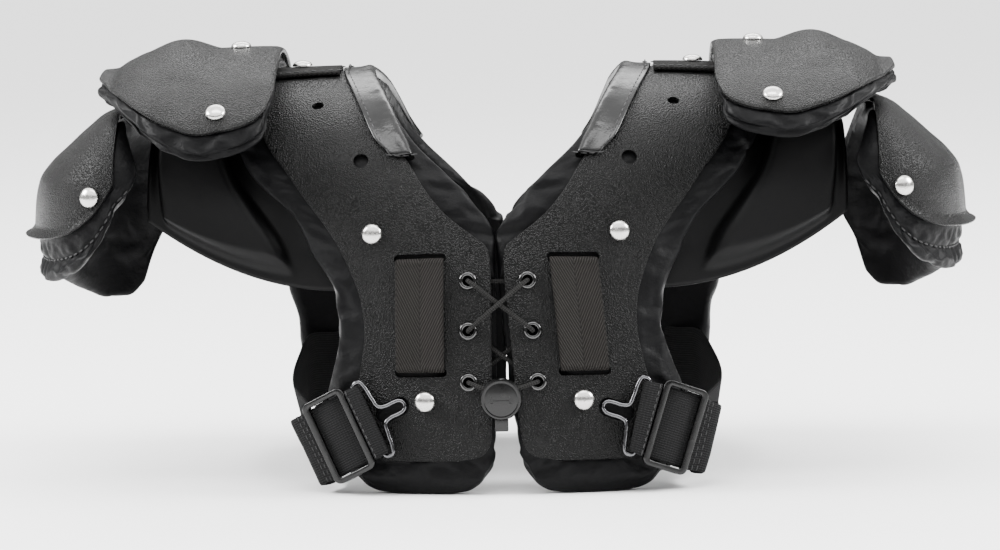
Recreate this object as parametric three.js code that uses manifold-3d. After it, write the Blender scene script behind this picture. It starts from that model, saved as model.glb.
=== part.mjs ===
// Youth football shoulder pads: two laced halves, each a plastic arch over a foam body pad,
// with a shoulder cap, a hanging cup, a liner flap, straps, rivets, eyelets and a side belt.
// Millimetres, +Z up. The chest faces -Y and the wearer's left is +X. The origin is on the
// floor, in the middle between the four padded feet that the pads stand on.
import * as THREE from "three";
import { mergeVertices } from "three/addons/utils/BufferGeometryUtils.js";
import Module from "manifold-3d";

const wasm = await Module();
wasm.setup();

// Driving dimensions: the arch that every other piece is laid on
const ARCH_HEIGHT = 211; // floor to the top of the arch plates
const FOOT_REACH = 112; // middle of the body to the face of the plates at chest and back
const SHOULDER_REACH = 134; // centre line to the outer edge of the arch plates on top
const CHEST_ROUNDING = 19; // how far the chest falls back over ROUNDING_SPAN
const TOP_ROUNDING = 4; // the same on top of the shoulder
const ROUNDING_SPAN = 90;

// Walls and clearances
const PLATE = 2.5; // moulded plastic of the arches
const CAP_PLATE = 2.2; // moulded plastic of shoulder caps and cups
const GAP = 0.3; // between pieces that touch
const BODY_FOAM = 12; // body pad thickness
const LACE_ROOM = 4.6; // hollow behind the plates where the laces cross
const COLLAR_ROOM = 2.6; // hollow under the neck binding
const CUP_BELOW_ARCH = 15.5; // top of the arch down to the top of the cup
const CUP_HEIGHT = ARCH_HEIGHT - CUP_BELOW_ARCH; // floor to the top of the cup
const CAP_INNER = 113; // centre line to the inner edge of the shoulder cap

// Each half's own set, as the photo shows it: how far the foot of the chest plate swings
// out, the radius that the shoulder cap is bent to, and where the belt buckle hangs.
const SIDES = [
  { tag: "l", sign: -1, footSwing: 0.5, capBend: 135, buckleOut: 79, buckleRise: 31, beltTilt: 26 },
  { tag: "r", sign: 1, footSwing: 10, capBend: 158, buckleOut: 79.5, buckleRise: 33, beltTilt: 19 },
];

// Sections of an arch from the front foot to the top of the shoulder, then from the back
// foot. rise is a share of ARCH_HEIGHT, reach of FOOT_REACH, swing of a side's footSwing,
// and the rest of SHOULDER_REACH. spine is where the section stands proudest, inner and
// outer are the plate's edges, padInner and padOuter the body pad's. The feet have no plate
// and repeat the edges of its last section.
const COLUMNS = ["rise", "reach", "spine", "inner", "outer", "padInner", "padOuter", "swing"];
const FRONT_FEET = [
  [0, 1, 0.015, 0.15, 0.43, 0.2, 0.4, 1],
  [0.006, 1, 0.015, 0.15, 0.43, 0.125, 0.475, 1],
  [0.029, 1, 0.015, 0.15, 0.43, 0.058, 0.555, 1],
  [0.06, 1, 0.015, 0.15, 0.43, 0.022, 0.625, 1],
];
const FRONT_ARCH = [
  [0.083, 1, 0.015, 0.15, 0.43, 0.009, 0.655, 1],
  [0.095, 1, 0.015, 0.065, 0.495, 0.004, 0.668, 0.98],
  [0.128, 1, 0.015, 0.026, 0.535, 0.004, 0.678, 0.92],
  [0.223, 0.99, 0.015, 0.018, 0.537, 0.004, 0.678, 0.74],
  [0.389, 0.955, 0.015, 0.017, 0.504, 0.004, 0.64, 0.43],
  [0.467, 0.928, 0.016, 0.017, 0.515, 0.004, 0.645, 0.28],
  [0.545, 0.897, 0.018, 0.019, 0.556, 0.004, 0.686, 0.13],
  [0.592, 0.875, 0.03, 0.03, 0.59, 0.004, 0.724, 0.05],
  [0.626, 0.857, 0.065, 0.093, 0.619, 0.008, 0.754, 0],
  [0.673, 0.83, 0.13, 0.187, 0.668, 0.037, 0.806, 0],
  [0.735, 0.786, 0.21, 0.269, 0.739, 0.112, 0.877, 0],
  [0.796, 0.728, 0.285, 0.328, 0.802, 0.201, 0.94, 0],
  [0.858, 0.634, 0.36, 0.395, 0.873, 0.3, 0.985, 0],
  [0.919, 0.5, 0.42, 0.445, 0.925, 0.372, 1.02, 0],
  [0.964, 0.33, 0.475, 0.488, 0.97, 0.412, 1.045, 0],
  [0.99, 0.165, 0.51, 0.518, 0.993, 0.436, 1.06, 0],
];
const SHOULDER_TOP = [
  [1, 0, 0.53, 0.53, 1, 0.45, 1.065, 0],
];
const BACK_FEET = [
  [0, 1, 0.015, 0.16, 0.58, 0.3, 0.5, 0],
  [0.006, 1, 0.015, 0.16, 0.58, 0.18, 0.63, 0],
  [0.029, 1, 0.015, 0.16, 0.58, 0.075, 0.735, 0],
  [0.06, 1, 0.015, 0.16, 0.58, 0.024, 0.8, 0],
];
const BACK_ARCH = [
  [0.083, 1, 0.015, 0.16, 0.58, 0.009, 0.82, 0],
  [0.095, 1, 0.015, 0.075, 0.655, 0.004, 0.835, 0],
  [0.128, 1, 0.015, 0.03, 0.7, 0.004, 0.845, 0],
  [0.223, 0.99, 0.015, 0.018, 0.725, 0.004, 0.86, 0],
  [0.389, 0.955, 0.015, 0.017, 0.77, 0.004, 0.895, 0],
  [0.467, 0.928, 0.016, 0.02, 0.79, 0.004, 0.915, 0],
  [0.55, 0.895, 0.03, 0.035, 0.805, 0.004, 0.93, 0],
  [0.588, 0.877, 0.06, 0.09, 0.813, 0.005, 0.938, 0],
  [0.626, 0.856, 0.105, 0.16, 0.82, 0.03, 0.945, 0],
  [0.674, 0.827, 0.165, 0.235, 0.828, 0.085, 0.952, 0],
  [0.734, 0.783, 0.235, 0.31, 0.842, 0.2, 0.965, 0],
  [0.796, 0.722, 0.3, 0.362, 0.86, 0.29, 0.98, 0],
  [0.858, 0.634, 0.375, 0.42, 0.888, 0.365, 1, 0],
  [0.919, 0.5, 0.43, 0.46, 0.93, 0.402, 1.025, 0],
  [0.964, 0.33, 0.475, 0.49, 0.97, 0.425, 1.045, 0],
  [0.99, 0.165, 0.51, 0.518, 0.993, 0.44, 1.06, 0],
];
const named = (row) => Object.fromEntries(COLUMNS.map((name, i) => [name, row[i]]));
const behind = (row) => ({ ...named(row), reach: -named(row).reach });
const SECTIONS = [
  ...[...FRONT_FEET, ...FRONT_ARCH, ...SHOULDER_TOP].map(named),
  ...[...BACK_FEET, ...BACK_ARCH].map(behind).reverse(),
];
const FIRST_PLATE_ROW = FRONT_FEET.length;
const TOP_ROW = FRONT_FEET.length + FRONT_ARCH.length;
const LAST_ROW = SECTIONS.length - 1;
const LAST_PLATE_ROW = LAST_ROW - BACK_FEET.length;

// Small helpers
const { lerp, clamp, degToRad, smoothstep } = THREE.MathUtils;
const vec = (x, y, z) => new THREE.Vector3(x, y, z);
const spread = (count, from = 0, to = 1) =>
  Array.from({ length: count + 1 }, (_, i) => lerp(from, to, i / count));

// The row named by COLUMNS at a whole number, and straight between two rows.
function mixedRow(a, b, share) {
  return Object.fromEntries(Object.keys(a).map((name) => [name, lerp(a[name], b[name], share)]));
}
function rowAt(t) {
  const low = clamp(Math.floor(t), 0, LAST_ROW - 1);
  return mixedRow(SECTIONS[low], SECTIONS[low + 1], clamp(t - low, 0, 1));
}

// Reads a table of rows at any value of its first column, straight between the rows.
function tableAt(table, key, value) {
  let i = 0;
  while (i < table.length - 2 && table[i + 1][key] < value) i++;
  const [a, b] = [table[i], table[i + 1]];
  const share = clamp((value - a[key]) / (b[key] - a[key]), 0, 1);
  return mixedRow(a, b, share);
}

// The row, with its share, where the arch reaches a height in front or behind.
function rowAtHeight(z, front = true) {
  let [low, high] = front ? [0, TOP_ROW] : [LAST_ROW, TOP_ROW];
  for (let i = 0; i < 40; i++) {
    const middle = (low + high) / 2;
    if (rowAt(middle).rise * ARCH_HEIGHT < z) low = middle;
    else high = middle;
  }
  return low;
}

// Everything below is built for a half with x outward from the centre line, then mirrored.
// The face of the arch plate, falling back on both sides of the section's spine.
function archFace(side, t, x) {
  const row = rowAt(t);
  const [before, after] = [rowAt(Math.max(t - 0.5, 0)), rowAt(Math.min(t + 0.5, LAST_ROW))];
  const along = new THREE.Vector2(
    (before.reach - after.reach) * FOOT_REACH,
    (after.rise - before.rise) * ARCH_HEIGHT,
  ).normalize();
  const rounding = lerp(TOP_ROUNDING, CHEST_ROUNDING, Math.min(1, Math.abs(row.reach)));
  const fall = rounding * ((x - row.spine * SHOULDER_REACH) / ROUNDING_SPAN) ** 2;
  return vec(
    x + row.swing * side.footSwing,
    -row.reach * FOOT_REACH + along.y * fall,
    row.rise * ARCH_HEIGHT - along.x * fall,
  );
}

// Place, outward normal, and the directions outward and up along the arch.
function archFrame(side, t, x) {
  const step = 0.5;
  const at = archFace(side, t, x);
  const up = archFace(side, Math.min(t + step, LAST_ROW), x);
  up.sub(archFace(side, Math.max(t - step, 0), x));
  const out = archFace(side, t, x + step).sub(archFace(side, t, x - step)).normalize();
  const normal = out.clone().cross(up).normalize();
  return { at, out, normal, up: normal.clone().cross(out).normalize() };
}
function archOffset(side, t, x, height) {
  const frame = archFrame(side, t, x);
  return frame.at.addScaledVector(frame.normal, height);
}
const archSpot = (side, { x, z }, front = true) => archFrame(side, rowAtHeight(z, front), x);
const frameMatrix = ({ at, out, up, normal }) =>
  new THREE.Matrix4().makeBasis(out, up, normal).setPosition(at);

// A frame on any other face, from its place and outward normal.
function faceFrame(at, normal) {
  const out = vec(0, 1, 0).cross(normal).normalize();
  return { at, out, normal, up: normal.clone().cross(out).normalize() };
}

// Turns a closed surface so that its triangles face outward.
function facingOut(geometry) {
  const p = geometry.getAttribute("position");
  const index = geometry.index.array;
  const [a, b, c] = [vec(), vec(), vec()];
  let volume = 0;
  for (let i = 0; i < index.length; i += 3) {
    a.fromBufferAttribute(p, index[i]);
    b.fromBufferAttribute(p, index[i + 1]);
    c.fromBufferAttribute(p, index[i + 2]);
    volume += a.dot(b.cross(c));
  }
  if (volume < 0) {
    for (let i = 0; i < index.length; i += 3) {
      [index[i + 1], index[i + 2]] = [index[i + 2], index[i + 1]];
    }
  }
  return geometry;
}

function bare(geometry) {
  const copy = geometry.clone();
  for (const name of Object.keys(copy.attributes)) {
    if (name !== "position") copy.deleteAttribute(name);
  }
  return mergeVertices(copy, 1e-4);
}
const mirrored = (side, geometry) => facingOut(bare(geometry).scale(side.sign, 1, 1));

// A closed solid skinned over rings with as many points each. Its ends are closed by strips
// between the ring's two faces, or by the triangles of a flat section that is given. Both
// faces are split along the same diagonals, so that layers on one face stay parallel.
function lofted(rings, section) {
  const count = rings[0].length;
  const index = [];
  for (let i = 0; i + 1 < rings.length; i++) {
    for (let j = 0; j < count; j++) {
      const [a, b] = [i * count + j, i * count + ((j + 1) % count)];
      const turned = !section && j >= count / 2;
      if (turned) index.push(a, b, a + count, b, b + count, a + count);
      else index.push(a, b, b + count, a, b + count, a + count);
    }
  }
  const ends = section ? sectionTriangles(section) : stripTriangles(count);
  const last = (rings.length - 1) * count;
  for (const [a, b, c] of ends) index.push(a, c, b, last + a, last + b, last + c);
  const geometry = new THREE.BufferGeometry();
  const positions = rings.flat().flatMap((point) => point.toArray());
  geometry.setAttribute("position", new THREE.Float32BufferAttribute(positions, 3));
  geometry.setIndex(index);
  return facingOut(geometry);
}
function stripTriangles(count) {
  const triangles = [];
  for (let j = 0; j + 1 < count / 2; j++) {
    const [a, b, c, d] = [j, j + 1, count - 2 - j, count - 1 - j];
    triangles.push([a, b, c], [a, c, d]);
  }
  return triangles;
}
function sectionTriangles(section) {
  const outline = section.map(([x, y]) => new THREE.Vector2(x, y));
  const turn = Math.sign(THREE.ShapeUtils.area(outline));
  return THREE.ShapeUtils.triangulateShape(outline, []).map(([a, b, c]) => {
    const area = THREE.ShapeUtils.area([outline[a], outline[b], outline[c]]);
    return Math.sign(area) === turn ? [a, b, c] : [a, c, b];
  });
}

// A ring from the outer face's points one way and the inner face's points back.
const ringOf = (outer, inner) => [...outer, ...inner.reverse()];

// A shell of a face given as place and normal for each row and column of two depths.
function shell(rows, columns, faceAt, depths) {
  const rings = rows.map((row) => {
    const points = columns.map((column) => ({ ...faceAt(row, column), ...depths(row, column) }));
    const at = (key) => points.map((p) => p.at.clone().addScaledVector(p.normal, -p[key]));
    return ringOf(at("top"), at("under"));
  });
  return lofted(rings);
}

// Conversions to and from the solids that cut and join.
function toSolid(geometry) {
  const merged = bare(geometry);
  return new wasm.Manifold(
    new wasm.Mesh({
      numProp: 3,
      vertProperties: new Float32Array(merged.getAttribute("position").array),
      triVerts: new Uint32Array(merged.index.array),
    }),
  );
}
function toGeometry(solid) {
  const mesh = solid.getMesh();
  const geometry = new THREE.BufferGeometry();
  geometry.setAttribute("position", new THREE.BufferAttribute(new Float32Array(mesh.vertProperties), 3));
  geometry.setIndex(new THREE.BufferAttribute(new Uint32Array(mesh.triVerts), 1));
  return geometry;
}
const CUT_TOLERANCE = 0.01; // how far cut faces may move when their triangles are merged
function cut(geometry, cutters) {
  let solid = toSolid(geometry);
  for (const cutter of cutters) solid = solid.subtract(toSolid(cutter));
  return toGeometry(solid.simplify(CUT_TOLERANCE));
}
function joined(geometries) {
  const solids = geometries.map(toSolid);
  return toGeometry(solids.reduce((whole, solid) => whole.add(solid)));
}

// A round bore along a frame's normal.
const CUTTER_LENGTH = 14;
const bore = (frame, radius, sides) =>
  new THREE.CylinderGeometry(radius, radius, CUTTER_LENGTH, sides)
    .rotateX(Math.PI / 2)
    .applyMatrix4(frameMatrix(frame));

// A slot with round ends, long in the frame's outward direction, turned within the face.
function slotCutter(frame, length, width, turn) {
  const radius = width / 2;
  const straight = length / 2 - radius;
  const shape = new THREE.Shape();
  shape.absarc(straight, 0, radius, -Math.PI / 2, Math.PI / 2, false);
  shape.absarc(-straight, 0, radius, Math.PI / 2, (3 * Math.PI) / 2, false);
  const settings = { depth: CUTTER_LENGTH, bevelEnabled: false, curveSegments: 3 };
  return new THREE.ExtrudeGeometry(shape, settings)
    .translate(0, 0, -CUTTER_LENGTH / 2)
    .rotateZ(turn)
    .applyMatrix4(frameMatrix(frame));
}

// A cord or wire along a curve through its points, closer steps where the points are closer.
function tube(points, radius, sides, steps) {
  const path = new THREE.CatmullRomCurve3(points, false, "centripetal");
  path.getUtoTmapping = (u) => u;
  const ring = new THREE.Shape();
  for (let i = 0; i < sides; i++) {
    const angle = (2 * Math.PI * i) / sides;
    const point = [radius * Math.cos(angle), radius * Math.sin(angle)];
    if (i === 0) ring.moveTo(...point);
    else ring.lineTo(...point);
  }
  ring.closePath();
  return new THREE.ExtrudeGeometry(ring, { steps, extrudePath: path, bevelEnabled: false });
}

// Materials
const finish = (color, roughness, metalness = 0) =>
  new THREE.MeshStandardMaterial({ color, roughness, metalness });
const GRAINED_PLASTIC = finish(0x1b1b1a, 0.45);
const NYLON = finish(0x121317, 0.7);
const MOULDED_FOAM = finish(0x17171b, 0.6);
const VINYL = finish(0x141414, 0.3);
const WEBBING = finish(0x1c1a18, 0.85);
const ELASTIC = finish(0x1d1d1d, 0.9);
const NICKEL = finish(0xb9b9b6, 0.25, 1);
const BLACK_WIRE = finish(0x2a2a2a, 0.3, 1);
const SMOOTH_PLASTIC = finish(0x0c0c0c, 0.35);
const CORD = finish(0x1a1a19, 0.9);

const pads = new THREE.Group();
function addPiece(name, geometry, material) {
  const mesh = new THREE.Mesh(geometry, material);
  mesh.name = name;
  pads.add(mesh);
}
const addHalf = (side, name, geometry, material) =>
  addPiece(`${name}_${side.tag}`, mirrored(side, geometry), material);

// Rivets: a low dome on a shank that fills its hole
const RIVET = { radius: 5.3, height: 3, shank: 2, sides: 7 };
const RIVET_PROFILE = [
  [1, 0],
  [0.7, 0.75],
];
function rivet(frame, grip) {
  const profile = [
    [0, -grip],
    [RIVET.shank, -grip],
    [RIVET.shank, GAP],
    ...RIVET_PROFILE.map(([r, z]) => [r * RIVET.radius, GAP + z * RIVET.height]),
    [0, GAP + RIVET.height],
  ].map(([r, z]) => new THREE.Vector2(r, z));
  return new THREE.LatheGeometry(profile, RIVET.sides)
    .rotateX(Math.PI / 2)
    .applyMatrix4(frameMatrix(frame));
}
const rivetBore = (frame) => bore(frame, RIVET.shank + GAP, RIVET.sides);

// Eyelets: a rolled flange on the plate and a barrel down its hole
const EYELET = { radius: 4.6, barrel: 3.2, bore: 2.3, roll: 1.1, sides: 8 };
function eyelet(frame) {
  const profile = [
    [EYELET.bore, -PLATE],
    [EYELET.barrel, -PLATE],
    [EYELET.barrel, GAP],
    [EYELET.radius, GAP],
    [EYELET.radius * 0.8, GAP + EYELET.roll],
    [EYELET.bore, GAP + EYELET.roll * 0.6],
    [EYELET.bore, -PLATE],
  ].map(([r, z]) => new THREE.Vector2(r, z));
  return new THREE.LatheGeometry(profile, EYELET.sides)
    .rotateX(Math.PI / 2)
    .applyMatrix4(frameMatrix(frame));
}
const eyeletBore = (frame) => bore(frame, EYELET.barrel + GAP, EYELET.sides);

// Places on the arch: x outward and height above the floor, before the foot swings out
const EYELET_X = 14.2;
const CHEST_EYELETS = [109, 83.8, 58];
const BACK_EYELETS = [96, 58];
const CHEST_RIVETS = { chest_upper: { x: 63, z: 134 }, chest_lower: { x: 36.5, z: 48.4 } };
const BACK_RIVETS = { back_upper: { x: 72, z: 140 }, back_lower: { x: 70, z: 48 } };
const ADJUSTER_HOLES = [
  { x: 0.687 * SHOULDER_REACH, z: 0.934 * ARCH_HEIGHT, radius: 3.1 },
  { x: 0.512 * SHOULDER_REACH, z: 0.806 * ARCH_HEIGHT, radius: 3.9 },
];
const HOLE_SIDES = 10;
const STRAP = {
  width: 36,
  thickness: 2.5,
  lift: 0.45,
  start: 0.615 * SHOULDER_REACH,
  end: 201,
  rivetX: CAP_INNER - 10,
  landing: 0.85, // share of its drop at which it lies on the cup
};
const WEB = { x: 38.6, low: 65.5, high: 118.5, width: 24.5, thickness: 1.6, slot: 4.6, slack: 2.4 };

// Buckle, belt and hook are laid out along the belt from the buckle's middle, outward and
// down at the belt's tilt, and across it.
const BELT = { width: 38, thickness: 1.8, lift: 1.3, hump: 1.5, lean: 20, flat: 12.5, free: 18 };
const BUCKLE = { along: 25, across: 45, thickness: 3, bar: 3.6, rail: 2.8, corner: 4 };
const HOOK = { wire: 1.1, bar: 17.5, sides: 6 };
const HOOK_SLOT = { start: 21, end: 40, width: 9.8 };
function beltSpot(side, along, across) {
  const tilt = degToRad(side.beltTilt);
  const lean = Math.cos(degToRad(BELT.lean));
  const x = side.buckleOut + lean * (along * Math.cos(tilt) + across * Math.sin(tilt));
  const z = side.buckleRise - along * Math.sin(tilt) + across * Math.cos(tilt);
  return archFrame(side, rowAtHeight(Math.max(z, 0)), x);
}
// The buckle is rigid, so the belt leaves the rounded chest for its flat plane there.
function onBelt(side, along, across, height) {
  const frame = beltSpot(side, along, across);
  const onChest = frame.at.addScaledVector(frame.normal, height);
  const flat = buckleMatrix(side);
  const share = smoothstep(Math.abs(along), BELT.flat, BELT.free);
  return vec(along, across, height).applyMatrix4(flat).lerp(onChest, share);
}
function buckleMatrix(side) {
  const turn = new THREE.Matrix4().makeRotationZ(-degToRad(side.beltTilt));
  return frameMatrix(beltSpot(side, 0, 0)).multiply(turn);
}

// Arch plate
const PLATE_COLUMNS = spread(5);
const PLATE_ROWS = spread(LAST_PLATE_ROW - FIRST_PLATE_ROW, FIRST_PLATE_ROW, LAST_PLATE_ROW);
function archPlate(side) {
  const faceAt = (t, column) => {
    const row = rowAt(t);
    return archFrame(side, t, lerp(row.inner, row.outer, column) * SHOULDER_REACH);
  };
  const body = shell(PLATE_ROWS, PLATE_COLUMNS, faceAt, () => ({ top: 0, under: PLATE }));
  const webSlot = (z) => slotCutter(archSpot(side, { x: WEB.x, z }), WEB.width + WEB.slack, WEB.slot, 0);
  const hookSlot = slotCutter(
    beltSpot(side, -(HOOK_SLOT.start + HOOK_SLOT.end) / 2, 0),
    HOOK_SLOT.end - HOOK_SLOT.start,
    HOOK_SLOT.width,
    -degToRad(side.beltTilt),
  );
  return cut(body, [
    ...CHEST_EYELETS.map((z) => eyeletBore(archSpot(side, { x: EYELET_X, z }))),
    ...BACK_EYELETS.map((z) => eyeletBore(archSpot(side, { x: EYELET_X, z }, false))),
    ...Object.values(CHEST_RIVETS).map((spot) => rivetBore(archSpot(side, spot))),
    ...Object.values(BACK_RIVETS).map((spot) => rivetBore(archSpot(side, spot, false))),
    rivetBore(archFrame(side, TOP_ROW, STRAP.rivetX)),
    ...ADJUSTER_HOLES.map((hole) => bore(archSpot(side, hole), hole.radius, HOLE_SIDES)),
    webSlot(WEB.low - WEB.slot / 2),
    webSlot(WEB.high + WEB.slot / 2),
    hookSlot,
  ]);
}

// Body pad: nylon over foam, round at its edges, hollowed behind the laces and under the
// neck binding, flat where it stands on the floor
const PAD_COLUMNS = [
  { across: 0, top: 0.42, under: 0.72 },
  { across: 0.05, top: 0.1, under: 0.95 },
  { across: 0.3, top: 0, under: 1 },
  { across: 0.62, top: 0, under: 1 },
  { across: 0.94, top: 0.08, under: 1 },
  { across: 1, top: 0.4, under: 0.72 },
];
const HOLLOWED_COLUMNS = 3;
const LACED = { low: 38, high: 118 };
const COLLAR = { foot: 171, flange: 10, wall: 1.3, bead: 7, hollowBelow: 12 };
function bodyPad(side) {
  const relief = (height) => {
    if (height > LACED.low && height < LACED.high) return LACE_ROOM;
    return height > COLLAR.foot - COLLAR.hollowBelow ? COLLAR_ROOM : 0;
  };
  const faceAt = (t, column) => {
    const row = rowAt(t);
    const x = lerp(row.padInner, row.padOuter, column.across) * SHOULDER_REACH;
    return archFrame(side, t, x);
  };
  const depths = (t, column) => {
    const hollowed = PAD_COLUMNS.indexOf(column) < HOLLOWED_COLUMNS;
    const hollow = hollowed ? relief(rowAt(t).rise * ARCH_HEIGHT) : 0;
    const top = PLATE + GAP + Math.max(column.top * BODY_FOAM, hollow);
    return { top, under: PLATE + GAP + column.under * BODY_FOAM };
  };
  const body = shell(spread(LAST_ROW, 0, LAST_ROW), PAD_COLUMNS, faceAt, depths);
  const p = body.getAttribute("position");
  const count = PAD_COLUMNS.length * 2;
  for (let i = 0; i < p.count; i++) {
    const endRing = i < count || i >= p.count - count;
    p.setZ(i, endRing ? 0 : Math.max(p.getZ(i), 0));
  }
  return body;
}

// Neck binding: a vinyl strip folded round the plate's neck edge, with a rolled bead
function collar(side) {
  const under = -PLATE - GAP;
  const { flange, wall, bead } = COLLAR;
  const section = [
    [flange, GAP + wall],
    [1, GAP + wall * 1.3],
    [-bead * 0.4, GAP + wall * 1.9],
    [-bead * 0.85, GAP + wall * 0.9],
    [-bead, under / 2],
    [-bead * 0.8, under - wall * 0.6],
    [-bead * 0.3, under - wall],
    [flange * 0.5, under - wall],
    [flange * 0.5, under],
    [-GAP, under],
    [-GAP, GAP],
    [flange, GAP],
  ];
  const ends = [rowAtHeight(COLLAR.foot), rowAtHeight(COLLAR.foot, false)];
  const between = spread(LAST_ROW, 0, LAST_ROW).filter((t) => t > ends[0] + 0.1 && t < ends[1] - 0.1);
  const rings = [ends[0], ...between, ends[1]].map((t) =>
    section.map(([a, n]) => {
      const frame = archFrame(side, t, rowAt(t).inner * SHOULDER_REACH);
      return frame.at.addScaledVector(frame.out, a).addScaledVector(frame.normal, n);
    }),
  );
  return lofted(rings, section);
}

// Shoulder cap: a curved plate with a dome and a flat lip, and its pad
const CAP = { inner: CAP_INNER, outer: 208, half: 94.5, sink: 11, foam: 9, margin: 7, deck: 125 };
const CAP_DOME = { x: 165, halfWidth: 19, halfLength: 62, height: 4.5 };
const strapTop = (side, x) => archOffset(side, TOP_ROW, x, STRAP.lift + STRAP.thickness).z;
const capTop = (side) => strapTop(side, CAP.deck) + 3 * GAP + CAP.foam + CAP_PLATE;
// Sections across the cap: how long it is front to back and how far it sinks from its top.
const CAP_SECTIONS = [
  { across: 0, half: 0.7, sink: 0.15 },
  { across: 0.035, half: 0.86, sink: 0.02 },
  { across: 0.12, half: 0.945, sink: 0 },
  { across: 0.25, half: 0.985, sink: 0.02 },
  { across: 0.4, half: 1, sink: 0.06 },
  { across: 0.56, half: 0.96, sink: 0.02 },
  { across: 0.72, half: 0.86, sink: 0.12 },
  { across: 0.86, half: 0.65, sink: 0.6 },
  { across: 0.93, half: 0.47, sink: 0.95 },
  { across: 1, half: 0.28, sink: 1 },
];
const CAP_COLUMNS = CAP_SECTIONS.map((row) => row.across);
function capFace(side, x, y) {
  const row = tableAt(CAP_SECTIONS, "across", (x - CAP.inner) / (CAP.outer - CAP.inner));
  const { x: domeX, halfWidth, halfLength, height } = CAP_DOME;
  const dome = Math.max(0, 1 - ((x - domeX) / halfWidth) ** 2) * Math.max(0, 1 - (y / halfLength) ** 2);
  const bend = side.capBend - Math.sqrt(side.capBend ** 2 - y ** 2);
  return vec(x, y, capTop(side) - row.sink * CAP.sink + dome * height - bend);
}
function capFrame(side, x, y) {
  const step = 1;
  const at = capFace(side, x, y);
  const along = capFace(side, x, y + step).sub(capFace(side, x, y - step));
  const across = capFace(side, x + step, y).sub(capFace(side, x - step, y));
  return faceFrame(at, across.cross(along).normalize());
}
// Rows past 1 lie in the pad's margin beyond the plate's ends.
function capPiece(side, rows, depths) {
  const faceAt = (row, column) => {
    const { half } = tableAt(CAP_SECTIONS, "across", column);
    const x = lerp(CAP.inner, CAP.outer, column);
    const beyond = Math.max(0, Math.abs(row) - 1) * CAP.margin;
    const y = Math.min(1, Math.abs(row)) * half * CAP.half + beyond;
    return capFrame(side, x, Math.sign(row) * y);
  };
  return shell(rows, CAP_COLUMNS, faceAt, depths);
}
const CAP_RIVET_INSET = 10.5; // from the middle of the cap's front and back edges
const CAP_RIVETS = {
  cap_front: { x: 142, y: CAP_RIVET_INSET - CAP.half },
  cap_top: { x: 135, y: -4 },
  cap_back: { x: 142, y: CAP.half - CAP_RIVET_INSET },
};
const CAP_ROWS = spread(10, -1, 1);
function capPlate(side) {
  const body = capPiece(side, CAP_ROWS, () => ({ top: 0, under: CAP_PLATE }));
  return cut(body, Object.values(CAP_RIVETS).map(({ x, y }) => rivetBore(capFrame(side, x, y))));
}
const PAD_EDGE = { top: 0.35, under: 0.7 };
function capPad(side) {
  const start = CAP_PLATE + GAP;
  const edge = (row, column) => Math.abs(row) > 1 || column === 0 || column === 1;
  return capPiece(side, [-2, ...CAP_ROWS, 2], (row, column) => ({
    top: start + (edge(row, column) ? PAD_EDGE.top * CAP.foam : 0),
    under: start + (edge(row, column) ? PAD_EDGE.under * CAP.foam : CAP.foam),
  }));
}

// Shoulder strap: webbing over the arch, under the cap and down onto the cup
const CUP = { middle: 196, height: CUP_HEIGHT, half: 80, out: 50.5, flare: 5, foam: 8 };
const STRAP_ON_ARCH = spread(4, STRAP.start, SHOULDER_REACH);
const STRAP_DROP = spread(8, SHOULDER_REACH, STRAP.end);
function strapPoint(side, station, across, height) {
  const perRow = Math.abs(rowAt(TOP_ROW + 1).reach) * FOOT_REACH;
  const t = TOP_ROW + (across * STRAP.width) / 2 / perRow;
  if (station <= SHOULDER_REACH) return archOffset(side, t, station, height);
  const share = (station - SHOULDER_REACH) / (STRAP.end - SHOULDER_REACH);
  const from = archOffset(side, t, SHOULDER_REACH, height);
  const drop = smoothstep(share, 0, STRAP.landing);
  return vec(
    station,
    lerp(from.y, (across * STRAP.width) / 2, share),
    lerp(from.z, CUP.height + height, drop),
  );
}
function strap(side) {
  const rings = [...STRAP_ON_ARCH, ...STRAP_DROP.slice(1)].map((station) => {
    const at = (height) => [-1, 0, 1].map((across) => strapPoint(side, station, across, height));
    return ringOf(at(STRAP.lift + STRAP.thickness), at(STRAP.lift));
  });
  return cut(lofted(rings), [rivetBore(archFrame(side, TOP_ROW, STRAP.rivetX))]);
}

// Cup: a bowl over the outside of the arm. Sections by height as shares of CUP.height, with
// how far the bowl stands out from CUP.middle and how long it is front to back.
const CUP_SECTIONS = [
  { rise: 0.4, out: 0.92, half: 0.95 },
  { rise: 0.563, out: 0.98, half: 0.985 },
  { rise: 0.65, out: 1, half: 1 },
  { rise: 0.742, out: 0.98, half: 1 },
  { rise: 0.803, out: 0.93, half: 0.985 },
  { rise: 0.85, out: 0.8, half: 0.945 },
  { rise: 0.89, out: 0.63, half: 0.875 },
  { rise: 0.945, out: 0.39, half: 0.72 },
  { rise: 0.984, out: 0.17, half: 0.5 },
  { rise: 1, out: -0.16, half: 0.34 },
];
function cupFace(turn, z) {
  const row = tableAt(CUP_SECTIONS, "rise", z / CUP.height);
  const angle = degToRad(turn);
  return vec(
    CUP.middle + row.out * CUP.out * Math.cos(angle),
    row.half * CUP.half * Math.sin(angle),
    z,
  );
}
function cupFrame(turn, z) {
  const [dTurn, dz] = [2, 1];
  const high = Math.min(z + dz, CUP.height);
  const round = cupFace(turn + dTurn, z).sub(cupFace(turn - dTurn, z));
  const up = cupFace(turn, high).sub(cupFace(turn, high - 2 * dz));
  return faceFrame(cupFace(turn, z), round.cross(up).normalize());
}
const CUP_PLATE_TURNS = spread(12, -90, 90);
const CUP_LOW = { middle: 0.655, rise: 0.16, power: 5 };
const CUP_RIVETS = {
  cup_front: { turn: -75, z: 0.7775 * CUP.height },
  cup_back: { turn: 75, z: 0.7775 * CUP.height },
};
const CUP_HEIGHTS = [0, 0.1, 0.28, 0.48, 0.66, 0.8, 0.92, 1];
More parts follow.
